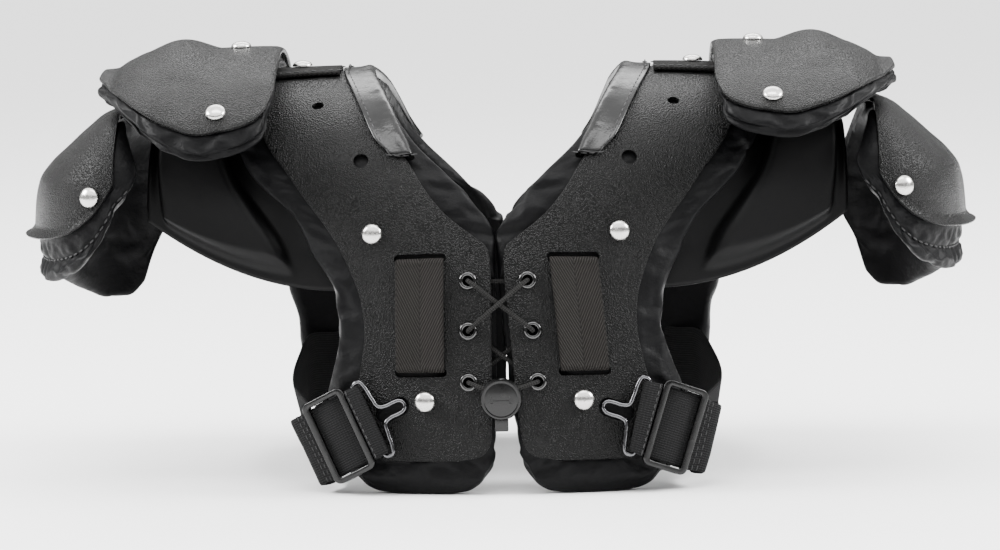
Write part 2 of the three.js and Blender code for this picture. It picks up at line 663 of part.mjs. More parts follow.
const cupLow = (turn) =>
  (CUP_LOW.middle + CUP_LOW.rise * Math.min(1, Math.abs(turn) / 90) ** CUP_LOW.power) * CUP.height;
function cupPlate() {
  const faceAt = (turn, share) => {
    const frame = cupFrame(turn, lerp(cupLow(turn), CUP.height, share));
    if (share === 0) frame.at.addScaledVector(frame.normal, CUP.flare * (1 - (turn / 90) ** 2));
    return frame;
  };
  const body = shell(CUP_PLATE_TURNS, CUP_HEIGHTS, faceAt, () => ({ top: 0, under: CAP_PLATE }));
  return cut(body, Object.values(CUP_RIVETS).map(({ turn, z }) => rivetBore(cupFrame(turn, z))));
}
// The pad's lower edge round the cup, from the front to the back, which hangs lower.
const CUP_PAD_EDGE = [
  { turn: -112, low: 0.86 },
  { turn: -100, low: 0.78 },
  { turn: -90, low: 0.7 },
  { turn: -75, low: 0.605 },
  { turn: -60, low: 0.56 },
  { turn: -45, low: 0.54 },
  { turn: -30, low: 0.53 },
  { turn: -15, low: 0.53 },
  { turn: 0, low: 0.53 },
  { turn: 15, low: 0.515 },
  { turn: 30, low: 0.485 },
  { turn: 45, low: 0.45 },
  { turn: 60, low: 0.425 },
  { turn: 75, low: 0.425 },
  { turn: 90, low: 0.46 },
  { turn: 100, low: 0.56 },
  { turn: 108, low: 0.68 },
];
// Shares below 0 lie between the pad's lower edge and the plate's.
const CUP_PAD_HEIGHTS = [-1, -0.8, -0.4, ...CUP_HEIGHTS.slice(0, -1)];
function cupPad() {
  const start = CAP_PLATE + GAP;
  const [first, last] = [CUP_PAD_EDGE[0], CUP_PAD_EDGE.at(-1)];
  const [low, high] = [CUP_PAD_HEIGHTS[0], CUP_PAD_HEIGHTS.at(-1)];
  const edge = (row, share) => [low, high].includes(share) || [first, last].includes(row);
  const faceAt = ({ turn, low: edgeLow }, share) => {
    const plateLow = cupLow(turn);
    if (share < 0) return cupFrame(turn, lerp(plateLow, edgeLow * CUP.height, -share));
    return cupFrame(turn, lerp(plateLow, CUP.height, share));
  };
  return shell(CUP_PAD_EDGE, CUP_PAD_HEIGHTS, faceAt, (row, share) => ({
    top: start + (edge(row, share) ? PAD_EDGE.top * CUP.foam : 0),
    under: start + (edge(row, share) ? PAD_EDGE.under * CUP.foam : CUP.foam),
  }));
}

// Saddle pad: sewn under the body pad's outer edge, swelling to a plateau and thinning to a
// rim at its tip beside the cup
const SADDLE = {
  tipOut: 180,
  tipReach: 60,
  sag: 9, // of its lower edges, midway between the body pad and the tip
  tipLow: 0.665 * CUP.height,
  tipHigh: 0.936 * CUP.height,
  bend: 0.92, // share of FOOT_REACH at which the tip is lowest
  swell: 9,
  foam: 9,
};
const SADDLE_DEPTH = PLATE + GAP + BODY_FOAM + 2 * GAP;
const SADDLE_COLUMNS = [
  { lap: 8, share: 0, swell: 0, foam: 0.5 },
  { lap: 0, share: 0, swell: 0, foam: 0.8 },
  { lap: 0, share: 0.16, swell: 0.2, foam: 1 },
  { lap: 0, share: 0.26, swell: 0.95, foam: 1 },
  { lap: 0, share: 0.55, swell: 1, foam: 1 },
  { lap: 0, share: 0.84, swell: 0.75, foam: 0.9 },
  { lap: 0, share: 0.92, swell: 0.15, foam: 0.5 },
  { lap: 0, share: 1, swell: 0, foam: 0.35 },
];
const SADDLE_RIM = { front: 0.51, back: 0.5 };
function saddlePad(side) {
  const faceAt = (t, column) => {
    const row = rowAt(t);
    const x = row.padOuter * SHOULDER_REACH - column.lap;
    const frame = archFrame(side, t, x);
    frame.at.addScaledVector(frame.normal, -SADDLE_DEPTH);
    if (column.share === 0) return frame;
    const bend = clamp(row.reach / SADDLE.bend, -1, 1);
    const tip = vec(
      SADDLE.tipOut,
      -SADDLE.tipReach * bend,
      lerp(SADDLE.tipLow, SADDLE.tipHigh, Math.sqrt(1 - bend ** 2)),
    );
    frame.at.lerp(tip, column.share).addScaledVector(frame.normal, column.swell * SADDLE.swell);
    frame.at.z -= 4 * column.share * (1 - column.share) * bend ** 2 * SADDLE.sag;
    return frame;
  };
  const ends = [
    rowAtHeight(SADDLE_RIM.front * ARCH_HEIGHT),
    rowAtHeight(SADDLE_RIM.back * ARCH_HEIGHT, false),
  ];
  const between = spread(LAST_ROW, 0, LAST_ROW).filter((t) => t > ends[0] + 0.1 && t < ends[1] - 0.1);
  return shell([ends[0], ...between, ends[1]], SADDLE_COLUMNS, faceAt, (t, column) => ({
    top: 0,
    under: column.foam * SADDLE.foam,
  }));
}

// A band laid on a face: its middle line is a list of [run, height] points, and faceAt gives
// the place of a run, a share of the width and a height.
const BAND_SHARES = [-0.5, 0, 0.5];
function bandRings(line, thickness, faceAt) {
  return line.map(([run, height], i) => {
    const [before, after] = [line[Math.max(i - 1, 0)], line[Math.min(i + 1, line.length - 1)]];
    const tangent = new THREE.Vector2(after[0] - before[0], after[1] - before[1]).normalize();
    const face = (half) =>
      BAND_SHARES.map((w) => faceAt(run - tangent.y * half, w, height + tangent.x * half));
    return ringOf(face(thickness / 2), face(-thickness / 2));
  });
}

// Chest webbing: out of the lower slot, up the plate and into the upper one. Its turn into
// a slot is given by how far past the slot's edge it is and how high over the plate's face.
const WEB_FLAT = GAP + WEB.thickness / 2;
const WEB_TURN = [
  { past: 1.6, height: -0.85 * PLATE },
  { past: 1.5, height: -0.2 },
  { past: 0.5, height: WEB_FLAT + 0.3 },
  { past: -1.6, height: WEB_FLAT },
];
const WEB_CLEAR = 3; // no row of the arch nearer to a turn than this
function chestWeb(side) {
  const turn = (z, way) => WEB_TURN.map(({ past, height }) => [z + way * past, height]);
  const between = spread(TOP_ROW, 0, TOP_ROW)
    .map((t) => rowAt(t).rise * ARCH_HEIGHT)
    .filter((z) => z > WEB.low + WEB_CLEAR && z < WEB.high - WEB_CLEAR)
    .map((z) => [z, WEB_FLAT]);
  const line = [...turn(WEB.low, -1), ...between, ...turn(WEB.high, 1).reverse()];
  const faceAt = (z, share, height) =>
    archOffset(side, rowAtHeight(z), WEB.x + share * WEB.width, height);
  return lofted(bandRings(line, WEB.thickness, faceAt));
}

// Buckle: a frame with two side rails and a low middle bar that the belt humps over
function buckle(side) {
  const { along, across, thickness, bar, rail, corner } = BUCKLE;
  const base = BELT.lift + BELT.thickness + GAP;
  const block = (a, w, low, high, at = 0) =>
    new THREE.BoxGeometry(a, w, high - low).translate(0, at, (low + high) / 2);
  const frame = new THREE.Shape();
  const [halfA, halfW] = [along / 2, across / 2];
  frame.absarc(halfA - corner, halfW - corner, corner, 0, Math.PI / 2, false);
  frame.absarc(corner - halfA, halfW - corner, corner, Math.PI / 2, Math.PI, false);
  frame.absarc(corner - halfA, corner - halfW, corner, Math.PI, 1.5 * Math.PI, false);
  frame.absarc(halfA - corner, corner - halfW, corner, 1.5 * Math.PI, 2 * Math.PI, false);
  const settings = { depth: thickness, bevelEnabled: false, curveSegments: 3 };
  const plain = new THREE.ExtrudeGeometry(frame, settings);
  plain.translate(0, 0, base);
  const window = block(along - 2 * bar, across - 2 * rail, base - 1, base + thickness + 1);
  const railAt = (across - rail) / 2;
  const long = along - 2 * corner;
  const body = joined([
    cut(plain, [window]),
    block(long, rail, BELT.lift, base + 1, railAt),
    block(long, rail, BELT.lift, base + 1, -railAt),
    block(bar, across - rail, BELT.lift, BELT.lift + BELT.hump - GAP),
  ]);
  return body.applyMatrix4(buckleMatrix(side));
}

// Side belt: sewn round the hook's bar, under and over the buckle's bars, folded outward
// and back past the ribs to the inside of the back pad
const BELT_LOW = BELT.lift + BELT.thickness / 2;
const BELT_ROUND = HOOK.wire + 1.6 * GAP + BELT.thickness / 2;
const BAR_HEIGHT = BELT_LOW + BELT_ROUND;
const BELT_FOLD = { start: 19, radius: 4.5, drop: 14 };
const BELT_BACK = { x: 80, z: 48, corner: 99, round: 5, clear: 7.5 * GAP };
const BELT_STEPS = 22; // from the fold to the back pad
const BELT_TURNED = 0.62; // share of them over which the belt turns upright
const BELT_WAYPOINTS = [
  { x: 0.769 * SHOULDER_REACH, y: -0.402 * FOOT_REACH, z: 0.152 * ARCH_HEIGHT },
  { x: 0.791 * SHOULDER_REACH, y: 0, z: 0.199 * ARCH_HEIGHT },
  { x: 0.784 * SHOULDER_REACH, y: 0.357 * FOOT_REACH, z: 0.223 * ARCH_HEIGHT },
];
function beltFrontLine() {
  const loop = spread(4, 90, 270).map((angle) => [
    -HOOK.bar + BELT_ROUND * Math.cos(degToRad(angle)),
    BAR_HEIGHT + BELT_ROUND * Math.sin(degToRad(angle)),
  ]);
  const fold = spread(3, 90, 0).map((angle) => [
    BELT_FOLD.start + BELT_FOLD.radius * Math.cos(degToRad(angle)),
    BELT_LOW + BELT_FOLD.radius * (Math.sin(degToRad(angle)) - 1),
  ]);
  const hump = BELT_LOW + BELT.hump;
  return [
    [-13.8, BAR_HEIGHT + BELT_ROUND],
    ...loop,
    [-8.6, BELT_LOW],
    [-2.6, hump],
    [2.6, hump],
    [8.6, BELT_LOW],
    [13.5, BELT_LOW],
    ...fold,
  ];
}
function belt(side) {
  const front = beltFrontLine();
  const onFace = (run, share, height) => onBelt(side, run, share * BELT.width, height);
  const rings = bandRings(front, BELT.thickness, onFace);
  const [run, height] = front.at(-1);
  const start = onFace(run, 0, height);
  const across = onFace(run, 0.5, height).sub(onFace(run, -0.5, height)).normalize();
  const inward = beltSpot(side, run, 0).normal.multiplyScalar(-BELT_FOLD.drop);
  const backRow = rowAtHeight(BELT_BACK.z, false);
  const depth = PLATE + BODY_FOAM + BELT_BACK.clear + BELT.thickness / 2;
  const onBack = (x) => archOffset(side, backRow, x, -depth);
  const { round, corner } = BELT_BACK;
  const swung = rowAt(rowAtHeight(side.buckleRise)).swing * side.footSwing;
  const path = new THREE.CatmullRomCurve3(
    [
      start,
      start.clone().add(inward),
      ...BELT_WAYPOINTS.map(({ x, y, z }, i) => vec(x + swung * (1 - i / 2), y, z)),
      onBack(corner).add(vec(0.6 * round, -1.4 * round, 0)),
      onBack(corner - round),
      onBack(BELT_BACK.x),
    ],
    false,
    "centripetal",
  );
  const upright = archFrame(side, backRow, BELT_BACK.x).up.multiplyScalar(-1);
  for (const share of spread(BELT_STEPS).slice(1)) {
    const tangent = path.getTangent(share);
    const wide = across.clone().lerp(upright, Math.min(1, share / BELT_TURNED));
    wide.addScaledVector(tangent, -wide.dot(tangent)).normalize();
    const thick = tangent.clone().cross(wide).multiplyScalar(BELT.thickness / 2);
    const middle = path.getPoint(share);
    const face = (way) =>
      BAND_SHARES.map((w) =>
        middle.clone().addScaledVector(wide, w * BELT.width).addScaledVector(thick, way),
      );
    rings.push(ringOf(face(1), face(-1)));
  }
  return lofted(rings);
}

// Wire hook: its bar in the belt's loop, its tongue down into the slot of the plate. One
// half of the wire, from the middle of the bar: along the belt, across it and in height,
// and its other half mirrored across.
const HOOK_STEPS = 36;
const HOOK_LINE = [
  { along: 0, across: 0.35, height: 0 },
  { along: 0, across: 10, height: 0 },
  { along: 0, across: 17.5, height: 0 },
  { along: 0.8, across: 19.9, height: 0 },
  { along: 2.6, across: 20.6, height: 0 },
  { along: 4.6, across: 20.2, height: -0.2 },
  { along: 5.8, across: 17, height: -0.5 },
  { along: 6.6, across: 10, height: -0.9 },
  { along: 7.8, across: 4.6, height: -1.2 },
  { along: 11, across: 3.3, height: -2.2 },
  { along: 15, across: 3.3, height: -4.0 },
  { along: 18, across: 2.9, height: -5.2 },
  { along: 19.8, across: 1.2, height: -5.6 },
];
function hook(side) {
  const half = HOOK_LINE.map(({ along, across, height }) => [along, across, height]);
  const other = half.map(([along, across, height]) => [along, -across, height]).reverse();
  const points = [...half, ...other].map(([along, across, height]) =>
    onBelt(side, -HOOK.bar - along, across, BAR_HEIGHT + height),
  );
  return tube(points, HOOK.wire, HOOK.sides, HOOK_STEPS);
}

// Laces: one cord each. A pass through an eyelet turns in over its rim and out behind.
const LACE = { radius: 1.2, front: 2.95, behind: 4.3, sides: 8, steps: 64 };
const LACE_TURN = [
  { out: 3.2, share: 1 },
  { out: 0.95, share: 0.72 },
  { out: 0.05, share: 0.06 },
];
const LACE_TURN_BEHIND = [
  { out: 0.05, share: 0.42 },
  { out: 0.85, share: 0.82 },
  { out: 2.9, share: 1 },
];
const worldFrame = (side, { at, normal }) => ({
  at: at.clone().multiply(vec(side.sign, 1, 1)),
  normal: normal.clone().multiply(vec(side.sign, 1, 1)),
});
function lacePass(frame, outerTo, innerTo, goingIn) {
  const toward = (target) => {
    const way = target.clone().sub(frame.at);
    return way.addScaledVector(frame.normal, -way.dot(frame.normal)).normalize();
  };
  const point = (way, out, height) =>
    frame.at.clone().addScaledVector(way, out).addScaledVector(frame.normal, height);
  const outer = LACE_TURN.map(({ out, share }) => point(toward(outerTo), out, share * LACE.front));
  const inner = LACE_TURN_BEHIND.map(({ out, share }) =>
    point(toward(innerTo), out, -share * LACE.behind),
  );
  const points = [...outer, ...inner];
  return goingIn ? points : points.reverse();
}
function crossing(a, b, height) {
  const middle = a.at.clone().lerp(b.at, 0.5);
  return middle.add(a.normal.clone().add(b.normal).normalize().multiplyScalar(height));
}

// How high over the plates, or how deep behind them, the cord is midway between two eyelets.
const CROSSING = { knotToMiddle: -6, first: 2.7, topBehind: -4.2, over: 5.6, middleToKnot: -3.4 };

const [LEFT, RIGHT] = SIDES;
const DISC = { x: 2, z: 50, radius: 10.6, thickness: 5.4, hole: 5.5, sides: 20 };
const CLIP = { width: 7, thickness: 3.24, drop: 16.5 };
const DISC_MARK = { length: 10.6, deep: 1, high: 1.4, below: 1 };
const eyeletOn = (side, z, front = true) =>
  worldFrame(side, archSpot(side, { x: EYELET_X, z }, front));
function discFace() {
  return eyeletOn(LEFT, DISC.z - CLIP.drop).at.y - 2 * GAP;
}
function laceKnot(way) {
  return vec(DISC.x + way * DISC.radius * 0.3, discFace() - DISC.thickness / 2, DISC.z + DISC.hole);
}
function chestLace() {
  const [l1, l2, l3] = CHEST_EYELETS.map((z) => eyeletOn(LEFT, z));
  const [r1, r2, r3] = CHEST_EYELETS.map((z) => eyeletOn(RIGHT, z));
  const rim = (way) => laceKnot(way).add(vec(way * DISC.radius * 0.55, 0, 0));
  const points = [
    laceKnot(-1),
    rim(-1),
    ...lacePass(l3, rim(-1), r2.at, true),
    crossing(l3, r2, CROSSING.knotToMiddle),
    ...lacePass(r2, l1.at, l3.at, false),
    crossing(r2, l1, CROSSING.first),
    ...lacePass(l1, r2.at, r1.at, true),
    crossing(l1, r1, CROSSING.topBehind),
    ...lacePass(r1, l2.at, l1.at, false),
    crossing(r1, l2, CROSSING.over),
    ...lacePass(l2, r1.at, r3.at, true),
    crossing(l2, r3, CROSSING.middleToKnot),
    ...lacePass(r3, rim(1), l2.at, false),
    rim(1),
    laceKnot(1),
  ];
  return tube(points, LACE.radius, LACE.sides, LACE.steps);
}
function backLace() {
  const [l1, l2] = BACK_EYELETS.map((z) => eyeletOn(LEFT, z, false));
  const [r1, r2] = BACK_EYELETS.map((z) => eyeletOn(RIGHT, z, false));
  const points = [
    ...lacePass(l1, r1.at, l2.at, false),
    crossing(l1, r1, LACE.front),
    ...lacePass(r1, l1.at, l2.at, true),
    crossing(r1, l2, -LACE.behind),
    ...lacePass(l2, r2.at, r1.at, false),
    crossing(l2, r2, LACE.front),
    ...lacePass(r2, l2.at, r1.at, true),
  ];
  return tube(points, LACE.radius, LACE.sides, points.length - 1);
}
function disc() {
  const round = new THREE.CylinderGeometry(DISC.radius, DISC.radius, DISC.thickness, DISC.sides);
  const clip = new THREE.BoxGeometry(CLIP.width, CLIP.thickness, CLIP.drop);
  const body = joined([round, clip.translate(0, 0, -CLIP.drop / 2)]);
  const holeRadius = LACE.radius + GAP;
  const hole = new THREE.CylinderGeometry(holeRadius, holeRadius, 4 * DISC.radius, 12);
  hole.rotateZ(Math.PI / 2).translate(0, 0, DISC.hole);
  const { length, deep, high, below } = DISC_MARK;
  const mark = new THREE.BoxGeometry(length, 2 * deep, high);
  mark.translate(0, -DISC.thickness / 2, -below);
  return cut(body, [hole, mark]).translate(DISC.x, discFace() - DISC.thickness / 2, DISC.z);
}

for (const side of SIDES) {
  addHalf(side, "arch_plate", archPlate(side), GRAINED_PLASTIC);
  addHalf(side, "body_pad", bodyPad(side), NYLON);
  addHalf(side, "saddle_pad", saddlePad(side), MOULDED_FOAM);
  addHalf(side, "neck_binding", collar(side), VINYL);
  addHalf(side, "shoulder_strap", strap(side), WEBBING);
  addHalf(side, "cap_plate", capPlate(side), GRAINED_PLASTIC);
  addHalf(side, "cap_pad", capPad(side), NYLON);
  addHalf(side, "cup_plate", cupPlate(), GRAINED_PLASTIC);
  addHalf(side, "cup_pad", cupPad(), NYLON);
  addHalf(side, "chest_web", chestWeb(side), WEBBING);
  addHalf(side, "belt", belt(side), ELASTIC);
  addHalf(side, "buckle", buckle(side), SMOOTH_PLASTIC);
  addHalf(side, "wire_hook", hook(side), BLACK_WIRE);
  for (const [name, spot] of Object.entries(CHEST_RIVETS)) {
    addHalf(side, `rivet_${name}`, rivet(archSpot(side, spot), PLATE), NICKEL);
  }
  for (const [name, spot] of Object.entries(BACK_RIVETS)) {
    addHalf(side, `rivet_${name}`, rivet(archSpot(side, spot, false), PLATE), NICKEL);
  }
  const onStrap = archFrame(side, TOP_ROW, STRAP.rivetX);
  onStrap.at.addScaledVector(onStrap.normal, STRAP.lift + STRAP.thickness);
  addHalf(side, "rivet_strap", rivet(onStrap, STRAP.lift + STRAP.thickness + PLATE), NICKEL);
  for (const [name, { x, y }] of Object.entries(CAP_RIVETS)) {
    addHalf(side, `rivet_${name}`, rivet(capFrame(side, x, y), CAP_PLATE), NICKEL);
  }
  for (const [name, { turn, z }] of Object.entries(CUP_RIVETS)) {
    addHalf(side, `rivet_${name}`, rivet(cupFrame(turn, z), CAP_PLATE), NICKEL);
  }
  CHEST_EYELETS.forEach((z, i) => {
    addHalf(side, `eyelet_chest_${i + 1}`, eyelet(archSpot(side, { x: EYELET_X, z })), NICKEL);
  });
  BACK_EYELETS.forEach((z, i) => {
    const frame = archSpot(side, { x: EYELET_X, z }, false);
    addHalf(side, `eyelet_back_${i + 1}`, eyelet(frame), NICKEL);
  });
}
addPiece("chest_lace", facingOut(bare(chestLace())), CORD);
addPiece("back_lace", facingOut(bare(backLace())), CORD);
addPiece("lace_disc", facingOut(bare(disc())), SMOOTH_PLASTIC);

export default pads;
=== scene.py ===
import math
import bpy
import bmesh
import numpy as np
from mathutils import Matrix, Quaternion, Vector


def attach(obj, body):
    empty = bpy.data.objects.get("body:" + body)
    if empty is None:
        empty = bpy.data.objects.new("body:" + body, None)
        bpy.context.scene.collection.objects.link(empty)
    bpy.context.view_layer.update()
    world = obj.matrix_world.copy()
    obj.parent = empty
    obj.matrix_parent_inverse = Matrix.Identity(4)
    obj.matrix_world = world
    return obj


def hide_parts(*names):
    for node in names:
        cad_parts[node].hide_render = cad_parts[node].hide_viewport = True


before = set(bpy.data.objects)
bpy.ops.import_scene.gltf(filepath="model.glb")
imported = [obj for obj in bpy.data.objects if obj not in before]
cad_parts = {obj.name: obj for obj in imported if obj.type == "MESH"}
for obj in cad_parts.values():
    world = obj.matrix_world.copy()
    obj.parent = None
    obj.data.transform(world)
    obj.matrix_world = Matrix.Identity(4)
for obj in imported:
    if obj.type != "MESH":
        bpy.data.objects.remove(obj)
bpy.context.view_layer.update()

# Studio: a plain pale floor, soft lights all round and the camera at the angle of the
# photograph, a little to the wearer's left of the middle and a little above the pads.
scene = bpy.context.scene
FLOOR_SIZE = 30.0
CAMERA_AIM = Vector((-0.0005, 0.0, 0.101))
CAMERA_AZIMUTH = math.radians(1.5)
CAMERA_ELEVATION = math.radians(6.0)
CAMERA_ROLL = math.radians(-1.0)
CAMERA_DISTANCE = 2.2
CAMERA_LENS = 149.0
LIGHTS = (
    # place, width, height, power
    ((0.0, -0.6, 2.0), 1.8, 0.5, 26.0),
    ((-1.5, -0.15, 1.0), 0.7, 0.6, 56.0),
    ((1.5, -0.15, 1.0), 0.7, 0.6, 56.0),
    ((0.0, 1.5, 1.8), 2.0, 0.6, 24.0),
)
SKY = dict(strength=7.0, angle=math.radians(130))


def sockets(nodes, kind, **values):
    """A node of that kind with its inputs set by name."""
    node = nodes.new(kind)
    for name, value in values.items():
        node.inputs[name.replace("_", " ")].default_value = value
    return node


def finish_of(name, colour, roughness, metallic=0.0, gloss=0.5):
    """A new material, its node tree and its Principled shader."""
    material = bpy.data.materials.new(name)
    material.use_nodes = True
    tree = material.node_tree
    shader = tree.nodes["Principled BSDF"]
    shader.inputs["Base Color"].default_value = (*colour, 1)
    shader.inputs["Roughness"].default_value = roughness
    shader.inputs["Metallic"].default_value = metallic
    shader.inputs["Specular IOR Level"].default_value = gloss
    return material, tree, shader


def set_up_studio():
    camera = bpy.data.objects.new("camera", bpy.data.cameras.new("camera"))
    scene.collection.objects.link(camera)
    towards = Vector((
        math.sin(CAMERA_AZIMUTH) * math.cos(CAMERA_ELEVATION),
        -math.cos(CAMERA_AZIMUTH) * math.cos(CAMERA_ELEVATION),
        math.sin(CAMERA_ELEVATION),
    ))
    camera.location = CAMERA_AIM + towards * CAMERA_DISTANCE
    turn = (-towards).to_track_quat("-Z", "Y") @ Quaternion((0, 0, 1), CAMERA_ROLL)
    camera.rotation_euler = turn.to_euler()
    camera.data.lens = CAMERA_LENS
    scene.camera = camera
    for i, (place, width, height, power) in enumerate(LIGHTS):
        light = bpy.data.lights.new(f"soft_light_{i}", "AREA")
        light.shape = "RECTANGLE"
        light.size, light.size_y, light.energy = width, height, power
        lamp = bpy.data.objects.new(light.name, light)
        lamp.location = place
        lamp.rotation_euler = (CAMERA_AIM - Vector(place)).to_track_quat("-Z", "Y").to_euler()
        scene.collection.objects.link(lamp)
    sky = bpy.data.lights.new("broad_light", "SUN")
    sky.energy, sky.angle = SKY["strength"], SKY["angle"]
    lamp = bpy.data.objects.new(sky.name, sky)
    lamp.location = (0, 0, 3)
    scene.collection.objects.link(lamp)
    world = bpy.data.worlds.new("studio")
    world.use_nodes = True
    world.node_tree.nodes["Background"].inputs["Color"].default_value = (1, 1, 1, 1)
    world.node_tree.nodes["Background"].inputs["Strength"].default_value = 0.35
    scene.world = world

    half = FLOOR_SIZE / 2
    mesh = bpy.data.meshes.new("floor")
    corners = [(-half, -half, 0), (half, -half, 0), (half, half, 0), (-half, half, 0)]
    mesh.from_pydata(corners, [], [(0, 1, 2, 3)])
    floor = bpy.data.objects.new("floor", mesh)
    scene.collection.objects.link(floor)
    mesh.materials.append(finish_of("pale_floor", (0.9, 0.9, 0.9), 0.95)[0])


set_up_studio()

# Arch plates: the two stiff halves of the pads, each moulded from one sheet of black plastic
# with a fine pebbled grain and bent from the chest over the shoulder to the back.
# Eyelets, the hook and the chest webbing sit in holes through them, and the rivets sit on their face.
MM = 0.001
ARCH_HEIGHT = 211.0
FOOT_REACH = 112.0
SHOULDER_REACH = 134.0
CHEST_ROUNDING = 19.0
TOP_ROUNDING = 4.0
ROUNDING_SPAN = 90.0
PLATE = 2.5
GAP = 0.3
HALVES = (
    dict(tag="l", sign=-1, foot_swing=0.5, cap_bend=135, buckle_out=79, buckle_rise=31, belt_tilt=26),
    dict(tag="r", sign=1, foot_swing=10, cap_bend=158, buckle_out=79.5, buckle_rise=33, belt_tilt=19),
)
COLUMNS = ("rise", "reach", "spine", "inner", "outer", "pad_inner", "pad_outer", "swing")
FRONT_SECTIONS = (
    (0, 1, 0.015, 0.15, 0.43, 0.2, 0.4, 1),
    (0.006, 1, 0.015, 0.15, 0.43, 0.125, 0.475, 1),
    (0.029, 1, 0.015, 0.15, 0.43, 0.058, 0.555, 1),
    (0.06, 1, 0.015, 0.15, 0.43, 0.022, 0.625, 1),
    (0.083, 1, 0.015, 0.15, 0.43, 0.009, 0.655, 1),
    (0.095, 1, 0.015, 0.065, 0.495, 0.004, 0.668, 0.98),
    (0.128, 1, 0.015, 0.026, 0.535, 0.004, 0.678, 0.92),
    (0.223, 0.99, 0.015, 0.018, 0.537, 0.004, 0.678, 0.74),
    (0.389, 0.955, 0.015, 0.017, 0.504, 0.004, 0.64, 0.43),
    (0.467, 0.928, 0.016, 0.017, 0.515, 0.004, 0.645, 0.28),
    (0.545, 0.897, 0.018, 0.019, 0.556, 0.004, 0.686, 0.13),
    (0.592, 0.875, 0.03, 0.03, 0.59, 0.004, 0.724, 0.05),
    (0.626, 0.857, 0.065, 0.093, 0.619, 0.008, 0.754, 0),
    (0.673, 0.83, 0.13, 0.187, 0.668, 0.037, 0.806, 0),
    (0.735, 0.786, 0.21, 0.269, 0.739, 0.112, 0.877, 0),
    (0.796, 0.728, 0.285, 0.328, 0.802, 0.201, 0.94, 0),
    (0.858, 0.634, 0.36, 0.395, 0.873, 0.3, 0.985, 0),
    (0.919, 0.5, 0.42, 0.445, 0.925, 0.372, 1.02, 0),
    (0.964, 0.33, 0.475, 0.488, 0.97, 0.412, 1.045, 0),
    (0.99, 0.165, 0.51, 0.518, 0.993, 0.436, 1.06, 0),
    (1, 0, 0.53, 0.53, 1, 0.45, 1.065, 0),
)
BACK_SECTIONS = (
    (0.99, -0.165, 0.51, 0.518, 0.993, 0.44, 1.06, 0),
    (0.964, -0.33, 0.475, 0.49, 0.97, 0.425, 1.045, 0),
    (0.919, -0.5, 0.43, 0.46, 0.93, 0.402, 1.025, 0),
    (0.858, -0.634, 0.375, 0.42, 0.888, 0.365, 1, 0),
    (0.796, -0.722, 0.3, 0.362, 0.86, 0.29, 0.98, 0),
    (0.734, -0.783, 0.235, 0.31, 0.842, 0.2, 0.965, 0),
    (0.674, -0.827, 0.165, 0.235, 0.828, 0.085, 0.952, 0),
    (0.626, -0.856, 0.105, 0.16, 0.82, 0.03, 0.945, 0),
    (0.588, -0.877, 0.06, 0.09, 0.813, 0.005, 0.938, 0),
    (0.55, -0.895, 0.03, 0.035, 0.805, 0.004, 0.93, 0),
    (0.467, -0.928, 0.016, 0.02, 0.79, 0.004, 0.915, 0),
    (0.389, -0.955, 0.015, 0.017, 0.77, 0.004, 0.895, 0),
    (0.223, -0.99, 0.015, 0.018, 0.725, 0.004, 0.86, 0),
    (0.128, -1, 0.015, 0.03, 0.7, 0.004, 0.845, 0),
    (0.095, -1, 0.015, 0.075, 0.655, 0.004, 0.835, 0),
    (0.083, -1, 0.015, 0.16, 0.58, 0.009, 0.82, 0),
    (0.06, -1, 0.015, 0.16, 0.58, 0.024, 0.8, 0),
    (0.029, -1, 0.015, 0.16, 0.58, 0.075, 0.735, 0),
    (0.006, -1, 0.015, 0.16, 0.58, 0.18, 0.63, 0),
    (0, -1, 0.015, 0.16, 0.58, 0.3, 0.5, 0),
)
SECTIONS = dict(zip(COLUMNS, np.array(FRONT_SECTIONS + BACK_SECTIONS).T))
FIRST_PLATE_ROW, TOP_ROW, LAST_PLATE_ROW, LAST_ROW = 4, 20, 36, 40
EYELET_X = 14.2
CHEST_EYELETS = (109, 83.8, 58)
BACK_EYELETS = (96, 58)
CHEST_RIVETS = {"chest_upper": (63, 134), "chest_lower": (36.5, 48.4)}
BACK_RIVETS = {"back_upper": (72, 140), "back_lower": (70, 48)}
ADJUSTER_HOLES = ((92, 197, 3.1), (68.6, 170, 3.9))
WEB = dict(x=38.6, low=65.5, high=118.5, width=24.5, thickness=1.6, slot=4.6)
HOOK_SLOT = dict(start=21, end=40, width=9.8)
BELT_LEAN = math.radians(20)
EDGE_ROUNDING = 0.7
CUTTER_REACH = 7
LACE_HOLE = 3.5


def through(places, values, x):
    """A smooth curve through values at places, read at x, that never swings past them."""
    places, values, x = (np.asarray(a, float) for a in (places, values, x))
    gap = np.diff(places)
    slope = np.diff(values) / gap
    tangent = np.zeros_like(values)
    tangent[0], tangent[-1] = slope[0], slope[-1]
    level = slope[:-1] * slope[1:] > 0
    a, b = 2 * gap[1:] + gap[:-1], gap[1:] + 2 * gap[:-1]
    safe = np.where(level[:, None], np.stack((slope[:-1], slope[1:]), 1), 1)
    tangent[1:-1] = np.where(level, (a + b) / (a / safe[:, 0] + b / safe[:, 1]), 0)
    i = np.clip(np.searchsorted(places, x, side="right") - 1, 0, len(gap) - 1)
    s = np.clip((x - places[i]) / gap[i], 0, 1)
    return (
        values[i] * (1 + 2 * s) * (1 - s) ** 2
        + values[i + 1] * s * s * (3 - 2 * s)
        + gap[i] * (tangent[i] * s * (1 - s) ** 2 - tangent[i + 1] * s * s * (1 - s))
    )


def section(name, t):
    return through(np.arange(LAST_ROW + 1), SECTIONS[name], np.clip(t, 0, LAST_ROW))


def unit(v):
    return v / np.maximum(np.linalg.norm(v, axis=-1, keepdims=True), 1e-12)


def lerp(a, b, share):
    return a + (b - a) * share


def ease(share):
    share = np.clip(share, 0, 1)
    return share * share * (3 - 2 * share)


